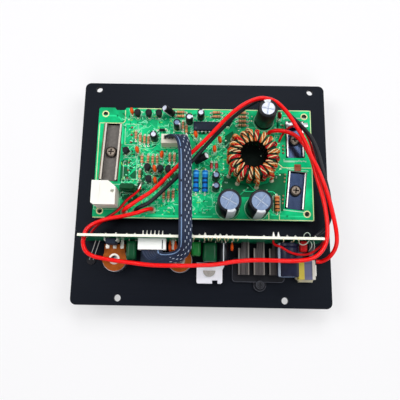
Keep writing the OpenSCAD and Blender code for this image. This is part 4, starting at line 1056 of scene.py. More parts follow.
toroidLook = {
    "at": (32.9, 19.5),
    "middle": 16.3,
    "inner": 10.15,
    "wide": 5.2,
    "tall": 11.0,
    "build": 2.2,
    "count": 20,
    "turn": 9,
    "strand": 0.36,
    "strands": 5,
    "twists": 4,
    "corner": 2.2,
    "steps": 96,
    "innerSpread": 0.62,
    "outerSpread": 1.3,
    "leads": (102, 132, 217, 240, 279, 313),  # degrees
    "tail": 0.42,
    "coat": 0.3,
    "paintedShadeCoat": 0.05,
    "tailShade": (190, 176, 150),
    "coreShade": (6, 36, 24),
    "shadowDiscPatch": (8, 14, 12),
    "colours": {
        "copper": (232, 124, 44),
        # this pale yellow is partly enamel colour, partly painted highlight on the wire
        "goldAndHighlight": (254, 226, 166),
        "red": (212, 14, 24),
        "deep": (88, 34, 20),
        # painted shade: the near-black enamel for strands low on the ring's inner wall
        "paintedShade": (24, 24, 20),
        # pale cream for the tails, partly tinned wire, partly painted highlight
        "tail": (238, 228, 206),
        "core": (13, 66, 44),
        # the painted shade seen through the ring
        "pad": (14, 24, 20),
    },
}
# numbers of the enamels, strand by strand
copperMixes = ((0, 1, 0, 3, 1), (1, 0, 2, 1, 3), (0, 1, 2, 0, 1), (1, 2, 0, 1, 3))
redMixes = ((2, 2, 1, 2, 3), (2, 1, 2, 2, 0), (2, 1, 2, 3, 2), (2, 2, 1, 0, 2))


def bundleLoop(look):
    # evenly spaced places along a bundle's middle, round the ring's section, with their outward direction
    out = look["build"] / 2
    r = look["corner"]
    w, h = look["wide"] / 2 + out - r, look["tall"] / 2 + out - r
    arc = math.pi / 2 * r
    stretches = [(arc, w, h, 0), (2 * w, w, h, 90), (arc, -w, h, 90), (2 * h, -w, h, 180), (arc, -w, -h, 180),
        (2 * w, -w, -h, 270), (arc, w, -h, 270), (2 * h, w, -h, 0)]
    total = sum(s[0] for s in stretches)
    places = []
    for k in range(look["steps"]):
        left = total * k / look["steps"]
        for number, (reach, x, z, heading) in enumerate(stretches):
            if left <= reach:
                break
            left -= reach
        a = math.radians(heading)
        if number % 2 == 0:
            a += left / r
            places.append((x + r * math.cos(a), z + r * math.sin(a), math.cos(a), math.sin(a)))
        else:
            places.append((x + r * math.cos(a) - left * math.sin(a), z + r * math.sin(a) + left * math.cos(a),
                math.cos(a), math.sin(a)))
    return places


def makeWinding(look):
    enamels = []
    for name in ("copper", "goldAndHighlight", "red", "deep", "paintedShade"):
        coat = look["paintedShadeCoat"] if name == "paintedShade" else look["coat"]
        enamels.append(glossy(name + "Enamel", look["colours"][name], coat=coat, rough=0.24, spread=0.1,
            scale=400, amount=0.35, bump=0.05))
    copper, red = newPile(), newPile()
    x, y = look["at"]
    loop = bundleLoop(look)
    middle = look["inner"] + look["wide"] / 2
    innerFace = -look["wide"] / 2 - look["build"] * 0.3
    rise = look["build"] / 2 - look["strand"] - 0.04
    for i in range(look["count"]):
        isRed = i % 3 == 1
        pile = red if isRed else copper
        angle = math.radians(look["turn"] + i * 360 / look["count"]) + random.uniform(-0.015, 0.015)
        mix = random.choice(redMixes if isRed else copperMixes)
        start = random.uniform(0, 360)
        for strand in range(look["strands"]):
            points, mats = [], []
            for k, (px, pz, nx, nz) in enumerate(loop):
                degrees = start + 360 * strand / look["strands"] + 360 * look["twists"] * k / look["steps"]
                turn = math.radians(degrees)
                share = (px + look["wide"] / 2 + look["build"] / 2) / (look["wide"] + look["build"])
                spread = look["innerSpread"] + share * (look["outerSpread"] - look["innerSpread"])
                side, lift = spread * math.cos(turn), rise * math.sin(turn)
                r = middle + px + nx * lift
                points.append((x + r * math.cos(angle) - side * math.sin(angle),
                    y + r * math.sin(angle) + side * math.cos(angle), look["middle"] + pz + nz * lift))
                # painted shade: strands low on the ring's inner wall take the near-black enamel
                mats.append(4 if px < innerFace and pz < look["tall"] / 2 + 0.4 else mix[strand])
            addTube(pile, points, look["strand"], mats, sides=6, closed=True)
    makePiece("copperWinding", copper, enamels, stands=["copper_winding"], sharp=80)
    makePiece("redWinding", red, enamels, stands=["red_winding"], sharp=80)
    return enamels


def makeLeads(look, enamels, top):
    tails, ends = newPile(), newPile()
    # the tails' pale cream is partly tinned wire, partly painted highlight
    tailTinAndHighlight = grainy("tailTinAndHighlight", look["colours"]["tail"], look["tailShade"], rough=0.3, Metallic=0.35)
    edge = look["inner"] + look["wide"] + look["build"]
    for k, degrees in enumerate(look["leads"]):
        turn = Matrix.Translation((*look["at"], 0)) @ Matrix.Rotation(math.radians(degrees), 4, "Z")
        for side in (-0.45, 0.45):
            route = [(edge + 0.1, side, top + 3.2), (edge + 0.9, side, top + 3.0),
                (edge + 1.6, side * 0.9, top + 2.2), (edge + 1.8, side * 0.6, top + 1.2),
                (edge + 1.8, side * 0.4, top + 0.2)]
            addTube(tails, [turn @ p for p in curveThrough(route, 4)], look["tail"], 0, sides=10)
        # the bundle's coloured end comes down the outside to its tail
        mix = random.choice(redMixes if k % 3 == 2 else copperMixes)
        drop = curveThrough([(edge - 1.4, 0, top + 12.6), (edge + 0.5, 0, top + 11.2),
            (edge + 1.3, 0, top + 8.6), (edge + 1.5, 0, top + 5.6), (edge + 1.4, 0, top + 3)], 5)
        for strand in range(look["strands"]):
            twisted = []
            for step, p in enumerate(drop):
                a = math.radians(360 * strand / look["strands"] + 24 * step)
                away = Vector((0.5 * math.cos(a), 0.95 * math.sin(a), 0.2 * math.cos(a)))
                twisted.append(turn @ (p + away))
            addTube(ends, twisted, look["strand"], mix[strand], sides=8)
        addLathe(tails, [(0, 0.0), (1.6, 0.0), (1.5, 0.25), (1.0, 0.7), (0.6, 1.3), (0, 1.5)],
            turn @ Matrix.Translation((edge + 1.8, 0, top)), 0, 16)
    makePiece("windingEnds", ends, enamels, sharp=80)
    makePiece("windingTails", tails, [tailTinAndHighlight], stands=["winding_leads"], sharp=60)


def makeRingShadowDisc(look, top):
    # painted shade: a dark disc on the board, seen through the ring, where its middle lies in shadow
    pad = newPile()
    addLathe(pad, [(0, 0.0), (11, 0.0), (11.1, 0.03), (11, 0.06), (0, 0.06)], spot(*look["at"], top), 0, 48)
    plainPiece("ringShadowDisc", pad, "black_plastic", look["colours"]["pad"], look["shadowDiscPatch"], rough=0.8)


enamels = makeWinding(toroidLook)
makeLeads(toroidLook, enamels, boardLook["top"])
makeRingShadowDisc(toroidLook, boardLook["top"])
dress("toroid_core", grainy("ringCoat", toroidLook["colours"]["core"], toroidLook["coreShade"], rough=0.4,
    scale=200))
print("toroid wound")

# round capacitors: shrunk sleeve rolled over the rim, scored metal top, printed stripe

canLook = {
    "sleeve": (13, 14, 19),
    "sleeveShade": (24, 26, 32),
    "navy": (14, 16, 36),
    "navyShade": (27, 32, 62),
    "coat": 0.12,
    "top": (131, 149, 178),
    "topShade": (108, 124, 154),
    "whiteTop": (198, 202, 217),
    "whiteTopShade": (206, 208, 216),
    "score": (188, 200, 218),
    "scoreShade": (150, 164, 188),
    "scoreDepth": 0.22,
    "scoreWidth": 0.55,
    "scoreAt": 0.27,  # mm below the rim, as the top
    "topAt": 0.3,
    "stripe": (232, 236, 240),
    "stripeShade": (198, 204, 212),
    "paleStripe": (196, 210, 228),
    "leg": 0.3,
}
sleeveBlack = glossy("blackSleeve", canLook["sleeve"], canLook["sleeveShade"], canLook["coat"], 0.2,
    rough=0.36, scale=160)
sleeveNavy = glossy("navySleeve", canLook["navy"], canLook["navyShade"], canLook["coat"], 0.2, rough=0.34,
    scale=160)
canTop = grainy("canTop", canLook["top"], canLook["topShade"], scale=700, amount=0.8, grain=2600,
    Metallic=0.25)
canTopWhite = grainy("paleCanTop", canLook["whiteTop"], canLook["whiteTopShade"], rough=0.45, scale=400,
    Metallic=0.3)
scoreShine = grainy("scoreShine", canLook["score"], canLook["scoreShade"], rough=0.4, scale=600)
sleeveStripe = grainy("sleeveStripe", canLook["stripe"], canLook["stripeShade"], rough=0.4, scale=200)
paleStripe = grainy("paleStripe", canLook["paleStripe"], rough=0.4, scale=200)


def addCan(pile, place, d, h, stripe, segs, lip=0.11, cross=None, topMat=1):
    # materials: 0 sleeve, 1 metal top, 2 stripe, 3 score lines, where there is a cross, else legs
    # stripe: its middle and half width in degrees; lip: the sleeve's share of the diameter over the rim
    r = d / 2
    lip = lip * d
    foot = d * 0.05
    flat = h - canLook["topAt"]
    profile = [(0, 0), (r - foot, 0), (r, foot), (r, h * 0.1), (r - d * 0.035, h * 0.13), (r, h * 0.16),
        (r, h - foot), (r - foot * 0.35, h - foot * 0.3), (r - foot, h), (r - lip, h - 0.02),
        (r - lip - 0.12, flat), (r * 0.72, flat), (r * 0.5, flat), (r * 0.28, flat),
        (r * 0.1, flat), (0, flat)]
    mats = [0] * 9 + [topMat] * 6

    def score(radius, angle, z):
        if z != flat:
            return 0
        first = cross or 45
        away = min(abs(math.sin(angle - math.radians(b))) * radius for b in (first, first + 90))
        return -canLook["scoreDepth"] * math.exp(-(away / canLook["scoreWidth"]) ** 2)

    def stripeMat(i, angle, mat):
        return 2 if 1 <= i <= 8 and abs((angle - stripe[0] + 180) % 360 - 180) < stripe[1] else mat

    addLathe(pile, profile, place, mats, segs, stripeMat, score)
    if cross is not None:
        for turn, thick in ((cross, 0.045), (cross + 90, 0.022)):
            bar = place @ spot(0, 0, h - canLook["scoreAt"], turn)
            addBox(pile, (0, 0, 0), (1.8 * (r - lip), thick * d, 0.1), 3, bar)


bigCanLook = {
    "leftFilterCan": {"node": "left_filter_capacitor", "at": "left", "d": 15, "h": 24, "stripe": (282, 24),
        "lip": 0.11, "cross": -28, "top": canTop},
    "rightFilterCan": {"node": "right_filter_capacitor", "at": "right", "d": 15, "h": 24, "stripe": (270, 24),
        "lip": 0.11, "cross": -38, "top": canTop},
    "supplyCan": {"node": "supply_capacitor", "at": "supply", "d": 12.6, "h": 23.4, "stripe": (96, 24),
        "lip": 0.16, "cross": 80, "top": canTopWhite},
}


def makeBigCans(cans, top):
    for name, look in cans.items():
        pile = newPile()
        addCan(pile, spot(*bigCanSpots[look["at"]], top), look["d"], look["h"], look["stripe"], 64,
            look["lip"], look["cross"])
        makePiece(name, pile, [sleeveBlack, look["top"], sleeveStripe, scoreShine], stands=[look["node"]])


smallCanLook = {
    "d": 5,
    "h": 9.5,
    "lip": 0.18,
    "greyTops": (0, 4, 5),  # which of the upright ones have a darker top
    "leaning": (-21.7, 51.2),
    "leaningBy": 32,
    "lying": (-5, 17.2),
    "lyingBy": 54,
}


def makeSmallCans(look, top):
    pile = newPile()
    size = (look["d"], look["h"])
    for k, (x, y) in enumerate(capacitorSpots):
        addCan(pile, spot(x, y, top), *size, (330 + 40 * k, 17), 28, look["lip"],
            topMat=4 if k in look["greyTops"] else 1)
    rise = 2.5 * math.sin(math.radians(look["leaningBy"])) + 0.6
    lean = spot(*look["leaning"], top + rise, 0, -6, -look["leaningBy"])
    addCan(pile, lean, *size, (255, 16), 28, 0.15)
    for side in (-1, 1):
        leg = [lean @ Vector((0, side, 0.2)), lean @ Vector((0, side, -1.9))]
        addTube(pile, leg, canLook["leg"], 3)
    lying = spot(*look["lying"], top + 2.3, 20, 0, look["lyingBy"])
    addCan(pile, lying, *size, (20, 20), 28, 0.1, topMat=2)
    for side in (-1, 1):
        knee = lying @ Vector((0, side, -0.7))
        leg = [lying @ Vector((0, side, 0.2)), knee, Vector((knee.x, knee.y, top))]
        addTube(pile, leg, canLook["leg"], 3)
    makePiece("smallCans", pile, [sleeveBlack, canTopWhite, sleeveStripe, leadWire, canTop],
        stands=["small_capacitors"])


frontCanLook = {
    "controlCan": {"node": "control_capacitor", "slot": "can_sleeve", "x": 14.2, "z": 13, "d": 6, "h": 12,
        "stripe": (96, 5), "segs": 32, "legs": 1.2, "finishes": (sleeveBlack, canTopWhite, sleeveStripe)},
    "inputCan": {"node": "input_capacitor", "slot": "navy_sleeve", "x": 54.2, "z": 17.2, "d": 13.6, "h": 21,
        "stripe": (152, 8), "segs": 56, "legs": 2.5, "finishes": (sleeveNavy, canTop, paleStripe)},
}


def makeFrontCans(cans):
    for name, look in cans.items():
        pile = newPile()
        x, z = look["x"], look["z"]
        addCan(pile, spot(x, partFoot, z, 0, 90), look["d"], look["h"], look["stripe"], look["segs"])
        for dx in (-look["legs"], look["legs"]):
            addTube(pile, [(x + dx, frontFace, z), (x + dx, partFoot - 0.1, z)], canLook["leg"], 3)
        makePiece(name, pile, [*look["finishes"], leadWire], stands=[look["node"]])


makeBigCans(bigCanLook, boardLook["top"])
makeSmallCans(smallCanLook, boardLook["top"])
makeFrontCans(frontCanLook)
print("capacitors done")

# small parts on legs

discLook = {
    "orange": (240, 92, 30),
    "orangeShade": (214, 66, 18),
    "dark": (150, 26, 22),
    "darkOne": 8,  # which of them is dark
    "across": 5,
    "thick": 2.6,
    "high": 4.5,
    "turn": 14,
}
controlDiscs = ((-20.4, 14, 6), (-16.8, 14, 6), (19.4, 13, 5))  # x, z and size


def addDisc(pile, place, d, t, mat, foot):
    rings = 10
    profile = [(0, -t / 2)]
    for k in range(1, rings):
        a = math.pi * k / rings - math.pi / 2
        profile.append((d / 2 * math.cos(a) ** 0.7, t / 2 * math.sin(a)))
    profile.append((0, t / 2))
    addLathe(pile, profile, place @ Matrix.Rotation(math.radians(90), 4, "X"), mat, 24)
    for side in legGaps["disc"]:
        neck = place @ Vector((side, 0, -d / 2 * 0.72))
        knee = place @ Vector((side, 0, -d / 2 - 0.5))
        end = place @ Vector((side, 0, foot))
        addTube(pile, [neck, knee], 0.5, mat, sides=8, taper=[1, 0.65])
        addTube(pile, [knee, end], 0.3, 2, sides=8)


def makeDiscs(look, top):
    coat = grainy("discCoat", look["orange"], look["orangeShade"], rough=0.32, scale=260)
    finishes = [coat, grainy("darkDiscCoat", look["dark"], rough=0.34, scale=260), leadWire]
    pile = newPile()
    for k, (x, y, turn) in enumerate(discSpots):
        place = spot(x, y, top + look["high"], turn + look["turn"])
        addDisc(pile, place, look["across"], look["thick"], 1 if k == look["darkOne"] else 0, -look["high"])
    makePiece("discCapacitors", pile, finishes, stands=["ceramic_capacitors"])
    pile = newPile()
    for x, z, d in controlDiscs:
        out = Matrix(((0, 1, 0, x), (0, 0, -1, partFoot - d / 2), (1, 0, 0, z), (0, 0, 0, 1)))
        addDisc(pile, out, d, 2, 0, -d / 2 - 1.5)
    makePiece("controlDiscs", pile, finishes, stands=["control_discs"])


transistorLook = {
    "black": (26, 28, 31),
    "blackShade": (40, 42, 46),
    "radius": 2.3,
    "flat": -1.5,
    "lift": 3.0,
    "tall": 4.6,
}
transistorBlack = grainy("transistorBlack", transistorLook["black"], transistorLook["blackShade"], scale=240)


def makeTransistors(look, top):
    pile = newPile()
    radius, flat, lift = look["radius"], look["flat"], look["lift"]
    reach = math.sqrt(radius ** 2 - flat ** 2)
    first = math.degrees(math.atan2(flat, reach))
    angles = [math.radians(first + (180 - 2 * first) * k / 18) for k in range(19)]
    outline = [(radius * math.cos(a), radius * math.sin(a)) for a in angles]
    for x, y, turn in transistorSpots:
        place = spot(x, y, top, turn)
        addPrism(pile, outline, lift, lift + look["tall"], 0, place, bevel=0.22)
        for side in legGaps["transistor"]:
            addBox(pile, (side, 0, lift / 2), (0.5, 0.4, lift + 0.1), 1, place)
    makePiece("signalTransistors", pile, [transistorBlack, leadWire], stands=["signal_transistors"])


resistorLook = {
    "beige": (222, 180, 136),
    "beigeShade": (206, 150, 100),
    "brown": (64, 26, 22),
    "red": (168, 32, 26),
    "orange": (232, 120, 40),
    "across": 2,
    "long": 5.2,
    "lift": 0.3,
}
brownBand = grainy("brownBand", resistorLook["brown"], rough=0.45)
redBand = grainy("redBand", resistorLook["red"], rough=0.45)


def addResistor(pile, place, d, l, lift, bands, waist=0.86):
    # materials: 0 body, 1 to 3 bands, 4 leads
    r = d / 2
    cap = l * 0.2
    stops = [(0, -l / 2), (r * 0.55, -l / 2), (r * 0.92, -l / 2 + l * 0.03), (r, -l / 2 + l * 0.08)]
    mats = [0, 0, 0]
    marks = [(-l / 2 + cap * 0.6, r, 0), (-l / 2 + cap, r, bands[0]), (-l * 0.24, r * waist, 0)]
    marks += [(-l * 0.13, r * waist, 0), (-l * 0.04, r * waist, bands[1]), (l * 0.06, r * waist, 0),
        (l * 0.15, r * waist, bands[2]), (l * 0.24, r * waist, 0)]
    marks += [(l / 2 - cap, r, 0), (l / 2 - cap * 0.6, r, bands[3]), (l / 2 - l * 0.08, r, 0)]
    for z, radius, mat in marks:
        stops.append((radius, z))
        mats.append(mat)
    stops += [(r * 0.92, l / 2 - l * 0.03), (r * 0.55, l / 2), (0, l / 2)]
    mats += [0, 0, 0]
    axis = lift + r
    body = place @ Matrix.Translation((0, 0, axis)) @ Matrix.Rotation(math.radians(90), 4, "Y")
    addLathe(pile, stops, body, mats, 20)
    for side in (-1, 1):
        end = l / 2 + legReach
        leg = [(side * (l / 2 - 0.1), 0, axis), (side * (end - 0.4), 0, axis),
            (side * (end - 0.12), 0, axis - 0.12), (side * end, 0, axis - 0.4), (side * end, 0, 0)]
        addTube(pile, [place @ Vector(p) for p in leg], 0.3, 4)


def makeResistors(look, top):
    beige = grainy("resistorBeige", look["beige"], look["beigeShade"], rough=0.45, scale=300)
    orange = grainy("orangeBand", look["orange"], rough=0.45)
    pile = newPile()
    for x, y, turn in resistorSpots:
        bands = [random.choice((1, 2, 2, 3)) for _ in range(4)]
        addResistor(pile, spot(x, y, top, turn), look["across"], look["long"], look["lift"], bands)
    makePiece("smallResistors", pile, [beige, brownBand, redBand, orange, leadWire],
        stands=["small_resistors"])


powerLook = {
    "blue": (18, 132, 222),
    "blueShade": (10, 98, 186),
    "dark": (10, 44, 104),
    "pale": (84, 184, 244),
    "tan": (214, 140, 80),
    "tanShade": (190, 112, 58),
    "tanOne": 2,  # which of them is tan
    "lift": 0.5,
}


def makePowerResistors(look, top):
    blue = grainy("resistorBlue", look["blue"], look["blueShade"], rough=0.3, scale=200)
    dark = grainy("darkBand", look["dark"], rough=0.35)
    pale = grainy("paleBand", look["pale"], rough=0.3)
    tan = grainy("resistorTan", look["tan"], look["tanShade"], rough=0.4, scale=240)
    pile = newPile()
    for k, (x, y, long, thick) in enumerate(powerResistorSpots):
        start = len(pile["mats"])
        addResistor(pile, spot(x, y, top, 90), thick, long, look["lift"], (1, 1, 1, 2), waist=0.9)
        if k == look["tanOne"]:
            swap = {0: 3, 1: 5, 2: 6}
            pile["mats"][start:] = [swap.get(m, m) for m in pile["mats"][start:]]
    makePiece("powerResistors", pile, [blue, dark, pale, tan, leadWire, brownBand, redBand],
        stands=["power_resistors"])


diodeLook = {
    "red": (178, 30, 38),
    "redShade": (140, 16, 26),
    "coat": 0.5,
    "blackOne": 2,  # which of them is black
    "across": 1.9,
    "long": 3.9,
    "lift": 0.3,
}


def makeDiodes(look, top):
    glass = glossy("diodeGlass", look["red"], look["redShade"], look["coat"], 0.1, rough=0.15, scale=300)
    pile = newPile()
    for k, (x, y, turn) in enumerate(diodeSpots):
        start = len(pile["mats"])
        addResistor(pile, spot(x, y, top, turn), look["across"], look["long"], look["lift"],
            (0, 0, 0, 1), waist=1.0)
        if k == look["blackOne"]:
            pile["mats"][start:] = [m or 2 for m in pile["mats"][start:]]
    makePiece("diodes", pile, [glass] + [transistorBlack] * 3 + [leadWire], stands=["diodes"])


chipLook = {
    "body": (34, 42, 56),
    "bodyShade": (26, 32, 44),
    "mark": (70, 78, 92),
    "pin": (226, 230, 222),
    "pinShade": (186, 190, 182),
    "pitch": 2.54,
    "stand": 0.6,
    "taper": 0.35,
}


def addChip(pile, place, look, size, pins):
    w, h, t = size
    stand = look["stand"]
    bm = bmesh.new()
    block = Matrix.Translation((0, 0, stand + t / 2)) @ Matrix.Diagonal((w, h, t, 1))
    bmesh.ops.create_cube(bm, size=1, matrix=block)
    softenEdges(bm, bm.edges[:], 0.22)
    for v in bm.verts:
        v.co.y *= 1 - look["taper"] * abs(v.co.z - stand - t / 2) / (t / 2) / h
    addMesh(pile, bm, 0, place)
    addLathe(pile, [(0.0, 0.0), (0.85, 0.0), (0.85, 0.04), (0.7, 0.02), (0, 0.02)],
        place @ Matrix.Translation((-w / 2 + 1.6, -h / 2 + 1.6, stand + t - 0.01)), 2, 18)
    for side in (-1, 1):
        for k in range(pins):
            x = (k - (pins - 1) / 2) * look["pitch"]
            y = side * (h / 2 + 0.7)
            addBox(pile, (x, y, stand + t * 0.25), (1.3, 0.28, t * 0.5), 1, place)
            addBox(pile, (x, y, stand / 2), (0.55, 0.28, stand), 1, place)
            addBox(pile, (x, y - side * 0.32, stand + t / 2 - 0.14), (1.3, 0.9, 0.28), 1, place)


def makeChips(look, top):
    body = grainy("chipMoulding", look["body"], look["bodyShade"], rough=0.6, scale=200, grain=2600)
    mark = grainy("chipMark", look["mark"])
    pins = grainy("chipPins", look["pin"], look["pinShade"], rough=0.3, Metallic=0.3)
    upright = Matrix.Translation((-57.2, frontFace, 17.6)) @ Matrix.Rotation(math.radians(90), 4, "X") \
        @ Matrix.Rotation(math.radians(90), 4, "Z")
    for name, node, place, long, count in (
            ("controllerChip", "controller_chip", spot(*chipSpot, top), 19.4, 8),
            ("opAmpChip", "op_amp_chip", upright, 9.4, 4)):
        pile = newPile()
        addChip(pile, place, look, (long, 6.4, 3.4), count)
        makePiece(name, pile, [body, pins, mark], stands=[node])


def roundedOutline(w, h, r):
    pts = []
    for cx, cy, start in ((w / 2 - r, h / 2 - r, 0), (r - w / 2, h / 2 - r, 90), (r - w / 2, r - h / 2, 180),
            (w / 2 - r, r - h / 2, 270)):
        for k in range(6):
            a = math.radians(start + 18 * k)
            pts.append((cx + r * math.cos(a), cy + r * math.sin(a)))
    return pts


def addDipped(pile, place, w, t, tall, mat, soft=0.3):
    # a dipped block: its outline swells from foot to waist and rounds off at the top
    rows = []
    steps = [(0.0, 0.86), (0.04, 0.95), (0.12, 1.0), (0.8, 1.0), (0.9, 0.97), (0.96, 0.9), (1.0, 0.74)]
    for share, grow in steps:
        shrink = (1 - grow) * min(w, t)
        outline = roundedOutline(w - shrink, t - shrink, min(w, t) * soft * grow)
        rows.append([(x, y, share * tall) for x, y in outline])
    count = len(rows[0])
    verts = [v for row in rows for v in row]
    faces = []
    for i in range(len(rows) - 1):
        for k in range(count):
            n = (k + 1) % count
            faces.append([i * count + k, i * count + n, (i + 1) * count + n, (i + 1) * count + k])
    faces.append(list(range(count))[::-1])
    faces.append([(len(rows) - 1) * count + k for k in range(count)])
    addFaces(pile, verts, faces, mat, place)


filmLook = {
    "green": (12, 80, 46),
    "greenShade": (6, 50, 28),
    "bright": (28, 124, 54),
    "brightShade": (18, 96, 40),
    "coat": 0.1,
}
# x, z, width, length, thickness and finish
controlFilms = ((-45, 12, 6.4, 13, 9, 0), (-3.6, 13, 6, 10, 9, 1), (5.2, 12, 9.2, 13.4, 7, 0))


def makeFilmCaps(look, top):
    deep = glossy("filmGreen", look["green"], look["greenShade"], look["coat"], rough=0.22, scale=180)
    bright = glossy("brightFilmGreen", look["bright"], look["brightShade"], look["coat"], rough=0.24,
        scale=180)
    pile = newPile()
    addDipped(pile, spot(*filmSpot, top), 10, 4.2, 9, 0, soft=0.46)
    makePiece("filmCapacitor", pile, [deep], stands=["film_capacitor"])
    pile = newPile()
    for x, z, wide, long, thick, mat in controlFilms:
        addDipped(pile, spot(x, partFoot, z, 0, 90), wide, thick, long - 1.5, mat)
        for dx in (1 - wide / 2, wide / 2 - 1):
            addTube(pile, [(x + dx, frontFace, z), (x + dx, partFoot - 0.2, z)], 0.3, 2)
    makePiece("controlFilmCaps", pile, [deep, bright, leadWire], stands=["control_film_capacitors"])


makeDiscs(discLook, boardLook["top"])
makeTransistors(transistorLook, boardLook["top"])
makeResistors(resistorLook, boardLook["top"])
makePowerResistors(powerLook, boardLook["top"])
makeDiodes(diodeLook, boardLook["top"])
makeChips(chipLook, boardLook["top"])
makeFilmCaps(filmLook, boardLook["top"])
print("small parts done")

# sockets, plugs, controls and the rest of the panel's fittings

fittingLook = {
    "speaker_socket": {"name": "whiteMoulding", "color": (250, 249, 243), "patch": (236, 234, 224),
        "rough": 0.42, "amount": 0.4},
    "ribbon_plug": {"name": "creamMoulding", "color": (232, 228, 212), "patch": (212, 206, 188),
        "rough": 0.45, "amount": 0.5},
    "control_plug": {"name": "plugMoulding", "color": (255, 255, 253), "patch": (250, 249, 244),
        "rough": 0.42, "amount": 0.4},
    "pot_wafers": {"name": "waferLaminate", "color": (182, 96, 32), "patch": (148, 72, 18), "rough": 0.42,
        "scale": 220, "amount": 0.8},
    "pot_nuts": {"name": "nutMetal", "color": (196, 198, 202), "rough": 0.3, "Metallic": 1.0},
    "switch_body": {"name": "switchMoulding", "color": (62, 74, 94), "patch": (44, 54, 72), "rough": 0.4},
    "switch_slider": {"name": "sliderPlastic", "color": (22, 23, 26), "rough": 0.5},
    "jack_body": {"name": "jackMoulding", "color": (240, 241, 248), "patch": (220, 222, 232), "rough": 0.42,
        "amount": 0.4},
    "terminal_block": {"name": "terminalBlack", "color": (24, 25, 29), "patch": (36, 37, 42), "rough": 0.55},
    "terminal_screws": {"name": "darkScrews", "color": (52, 53, 57), "patch": (32, 33, 36), "rough": 0.4,
        "Metallic": 0.6},
    "fuse_holder": {"name": "holderCream", "color": (226, 218, 190), "patch": (204, 194, 160), "rough": 0.5},
    "blade_fuse": {"name": "fuseYellow", "color": (232, 214, 96), "patch": (206, 182, 70), "rough": 0.25},
    "indicator_lamp": {"name": "lampHolder", "color": (24, 24, 28), "patch": (40, 36, 40), "rough": 0.35},
}
metalLook = {
    "pot_cans": {"name": "controlCans", "color": (188, 190, 194), "streak": (150, 152, 158),
        "stretch": (60, 60, 900), "rough": 0.32, "Metallic": 1.0},
    "jack_shell": {"name": "jackMetal", "color": (160, 158, 152), "streak": (120, 118, 114),
        "stretch": (300, 300, 60), "rough": 0.35, "Metallic": 1.0},
    "terminal_lugs": {"name": "lugMetal", "color": (86, 81, 80), "streak": (17, 16, 18),
        "stretch": (1400, 60, 700), "rough": 0.42, "bump": 0.3, "Metallic": 0.8},
}
# colours beyond a plane, and bare metal beyond a plane: pins, blades, and the lugs' upper edges, lighter as a
# painted highlight
fittingTints = {
    "fuse_holder": [((1, 0, 0), 73.4, (240, 240, 236)), ((0, 1, 0), -50.5, (38, 35, 37))],
    "blade_fuse": [((1, 0, 0), 66.5, (112, 115, 146)), ((1, 0, 0), 71.6, (216, 214, 204))],
}
fittingMetal = {
    "control_plug": ((0, 1, 0), -34.95, (214, 210, 200), 0.3),
    # painted highlight: the lugs' upper edges
    "terminal_lugs": ((0, 0, 1), 8.9, (116, 111, 106), 0.35),
    "blade_fuse": ((0, 1, 0), -47.5, (70, 70, 76), 0.3),
    "indicator_lamp": ((0, 0, 1), 1.05, (150, 148, 144), 0.35),
}


def dressFittings():
    finishes = {node: grainy(**look) for node, look in fittingLook.items()}
    finishes.update({node: brushed(**look) for node, look in metalLook.items()})
    for node, tints in fittingTints.items():
        tintPast(finishes[node], tints)
    for node, (direction, limit, color, rough) in fittingMetal.items():
        metalPast(finishes[node], [(direction, limit)], color, rough)
    for node, finish in finishes.items():
        dress(node, finish)
    dress("pot_terminals", tinned)


controlLook = {
    "shaft": (206, 208, 212),
    "shaftStreak": (170, 172, 178),
    "knob": (24, 25, 28),
    "knobShade": (36, 37, 41),
    "pointer": (236, 236, 230),
    "pointerShade": (214, 214, 208),
    "pointerWide": 0.9,
    "pointerReach": 3.4,
    "pointerDeep": 0.4,
    "pointerLong": 9.6,
}


def makeControls(look):
    shaft = brushed("shaftMetal", look["shaft"], look["shaftStreak"], (900, 900, 40), rough=0.28,
        Metallic=1.0)
    knob = grainy("knobPlastic", look["knob"], look["knobShade"], grain=2600)
    inlay = grainy("pointerInlay", look["pointer"], look["pointerShade"], rough=0.45, amount=0.4)
    wide = look["pointerWide"]
    for name, x in (("level", -56.6), ("frequency", -14.2)):
        dress(name + "_shaft", shaft)
        dress(name + "_knob", knob)
        # white lines let into the knob, turning with it
        pile = newPile()
        addBox(pile, (x, -45.3, -21.15), (wide, look["pointerReach"], look["pointerDeep"]), bevel=0.1)
        addBox(pile, (x, -43.2, -15.6), (wide, 0.6, look["pointerLong"]), bevel=0.15)
        makePiece(name + "Pointer", pile, [inlay], body=name + "_control")


dressFittings()
makeControls(controlLook)
print("fittings done")

# trims: strips and tabs by the bars, solder and legs on the control board, a painted highlight round the
# terminal block, plug wires and a painted shade for the plug's slit, wire tips

stripLook = {"brown": (142, 106, 84), "brownShade": (108, 78, 60), "long": 39}


def makeStrips(look):
    pile = newPile()
    left = spot(*barSpots["left"], 0, -2.5)
    addBox(pile, (-6.15, 0, 7.4), (0.5, look["long"], 4.0), 0, left, bevel=0.12)
    addBox(pile, (6.15, 0, 7.0), (0.4, look["long"], 3.2), 0, left, bevel=0.1)
    plainPiece("insulatingStrips", pile, "brown_wafer", look["brown"], look["brownShade"],
        finish="insulatingStrip", rough=0.6)


shieldLook = {"silver": (160, 160, 164), "silverShade": (150, 146, 146), "low": 9.55, "high": 9.95}
shieldOutline = [
    (56.4, 42.9), (59.6, 43.8), (62.8, 42.6), (66.2, 43.8), (69.2, 42.6), (71.8, 43.8), (71.2, 46.6),
    (68.6, 46.2), (66, 47), (63.4, 46.2), (60.8, 47), (58.4, 46.2), (56.2, 46.8),
]


def makeShield(look):
    pile = newPile()
    addPrism(pile, shieldOutline, look["low"], look["high"], bevel=0.12)
    plainPiece("solderedShield", pile, "tinned_metal", look["silver"], look["silverShade"], rough=0.3,
        scale=500, bump=0.5, Metallic=0.8)


tabLook = {"fibre": (146, 74, 52), "fibreShade": (186, 120, 96), "at": 63.8}


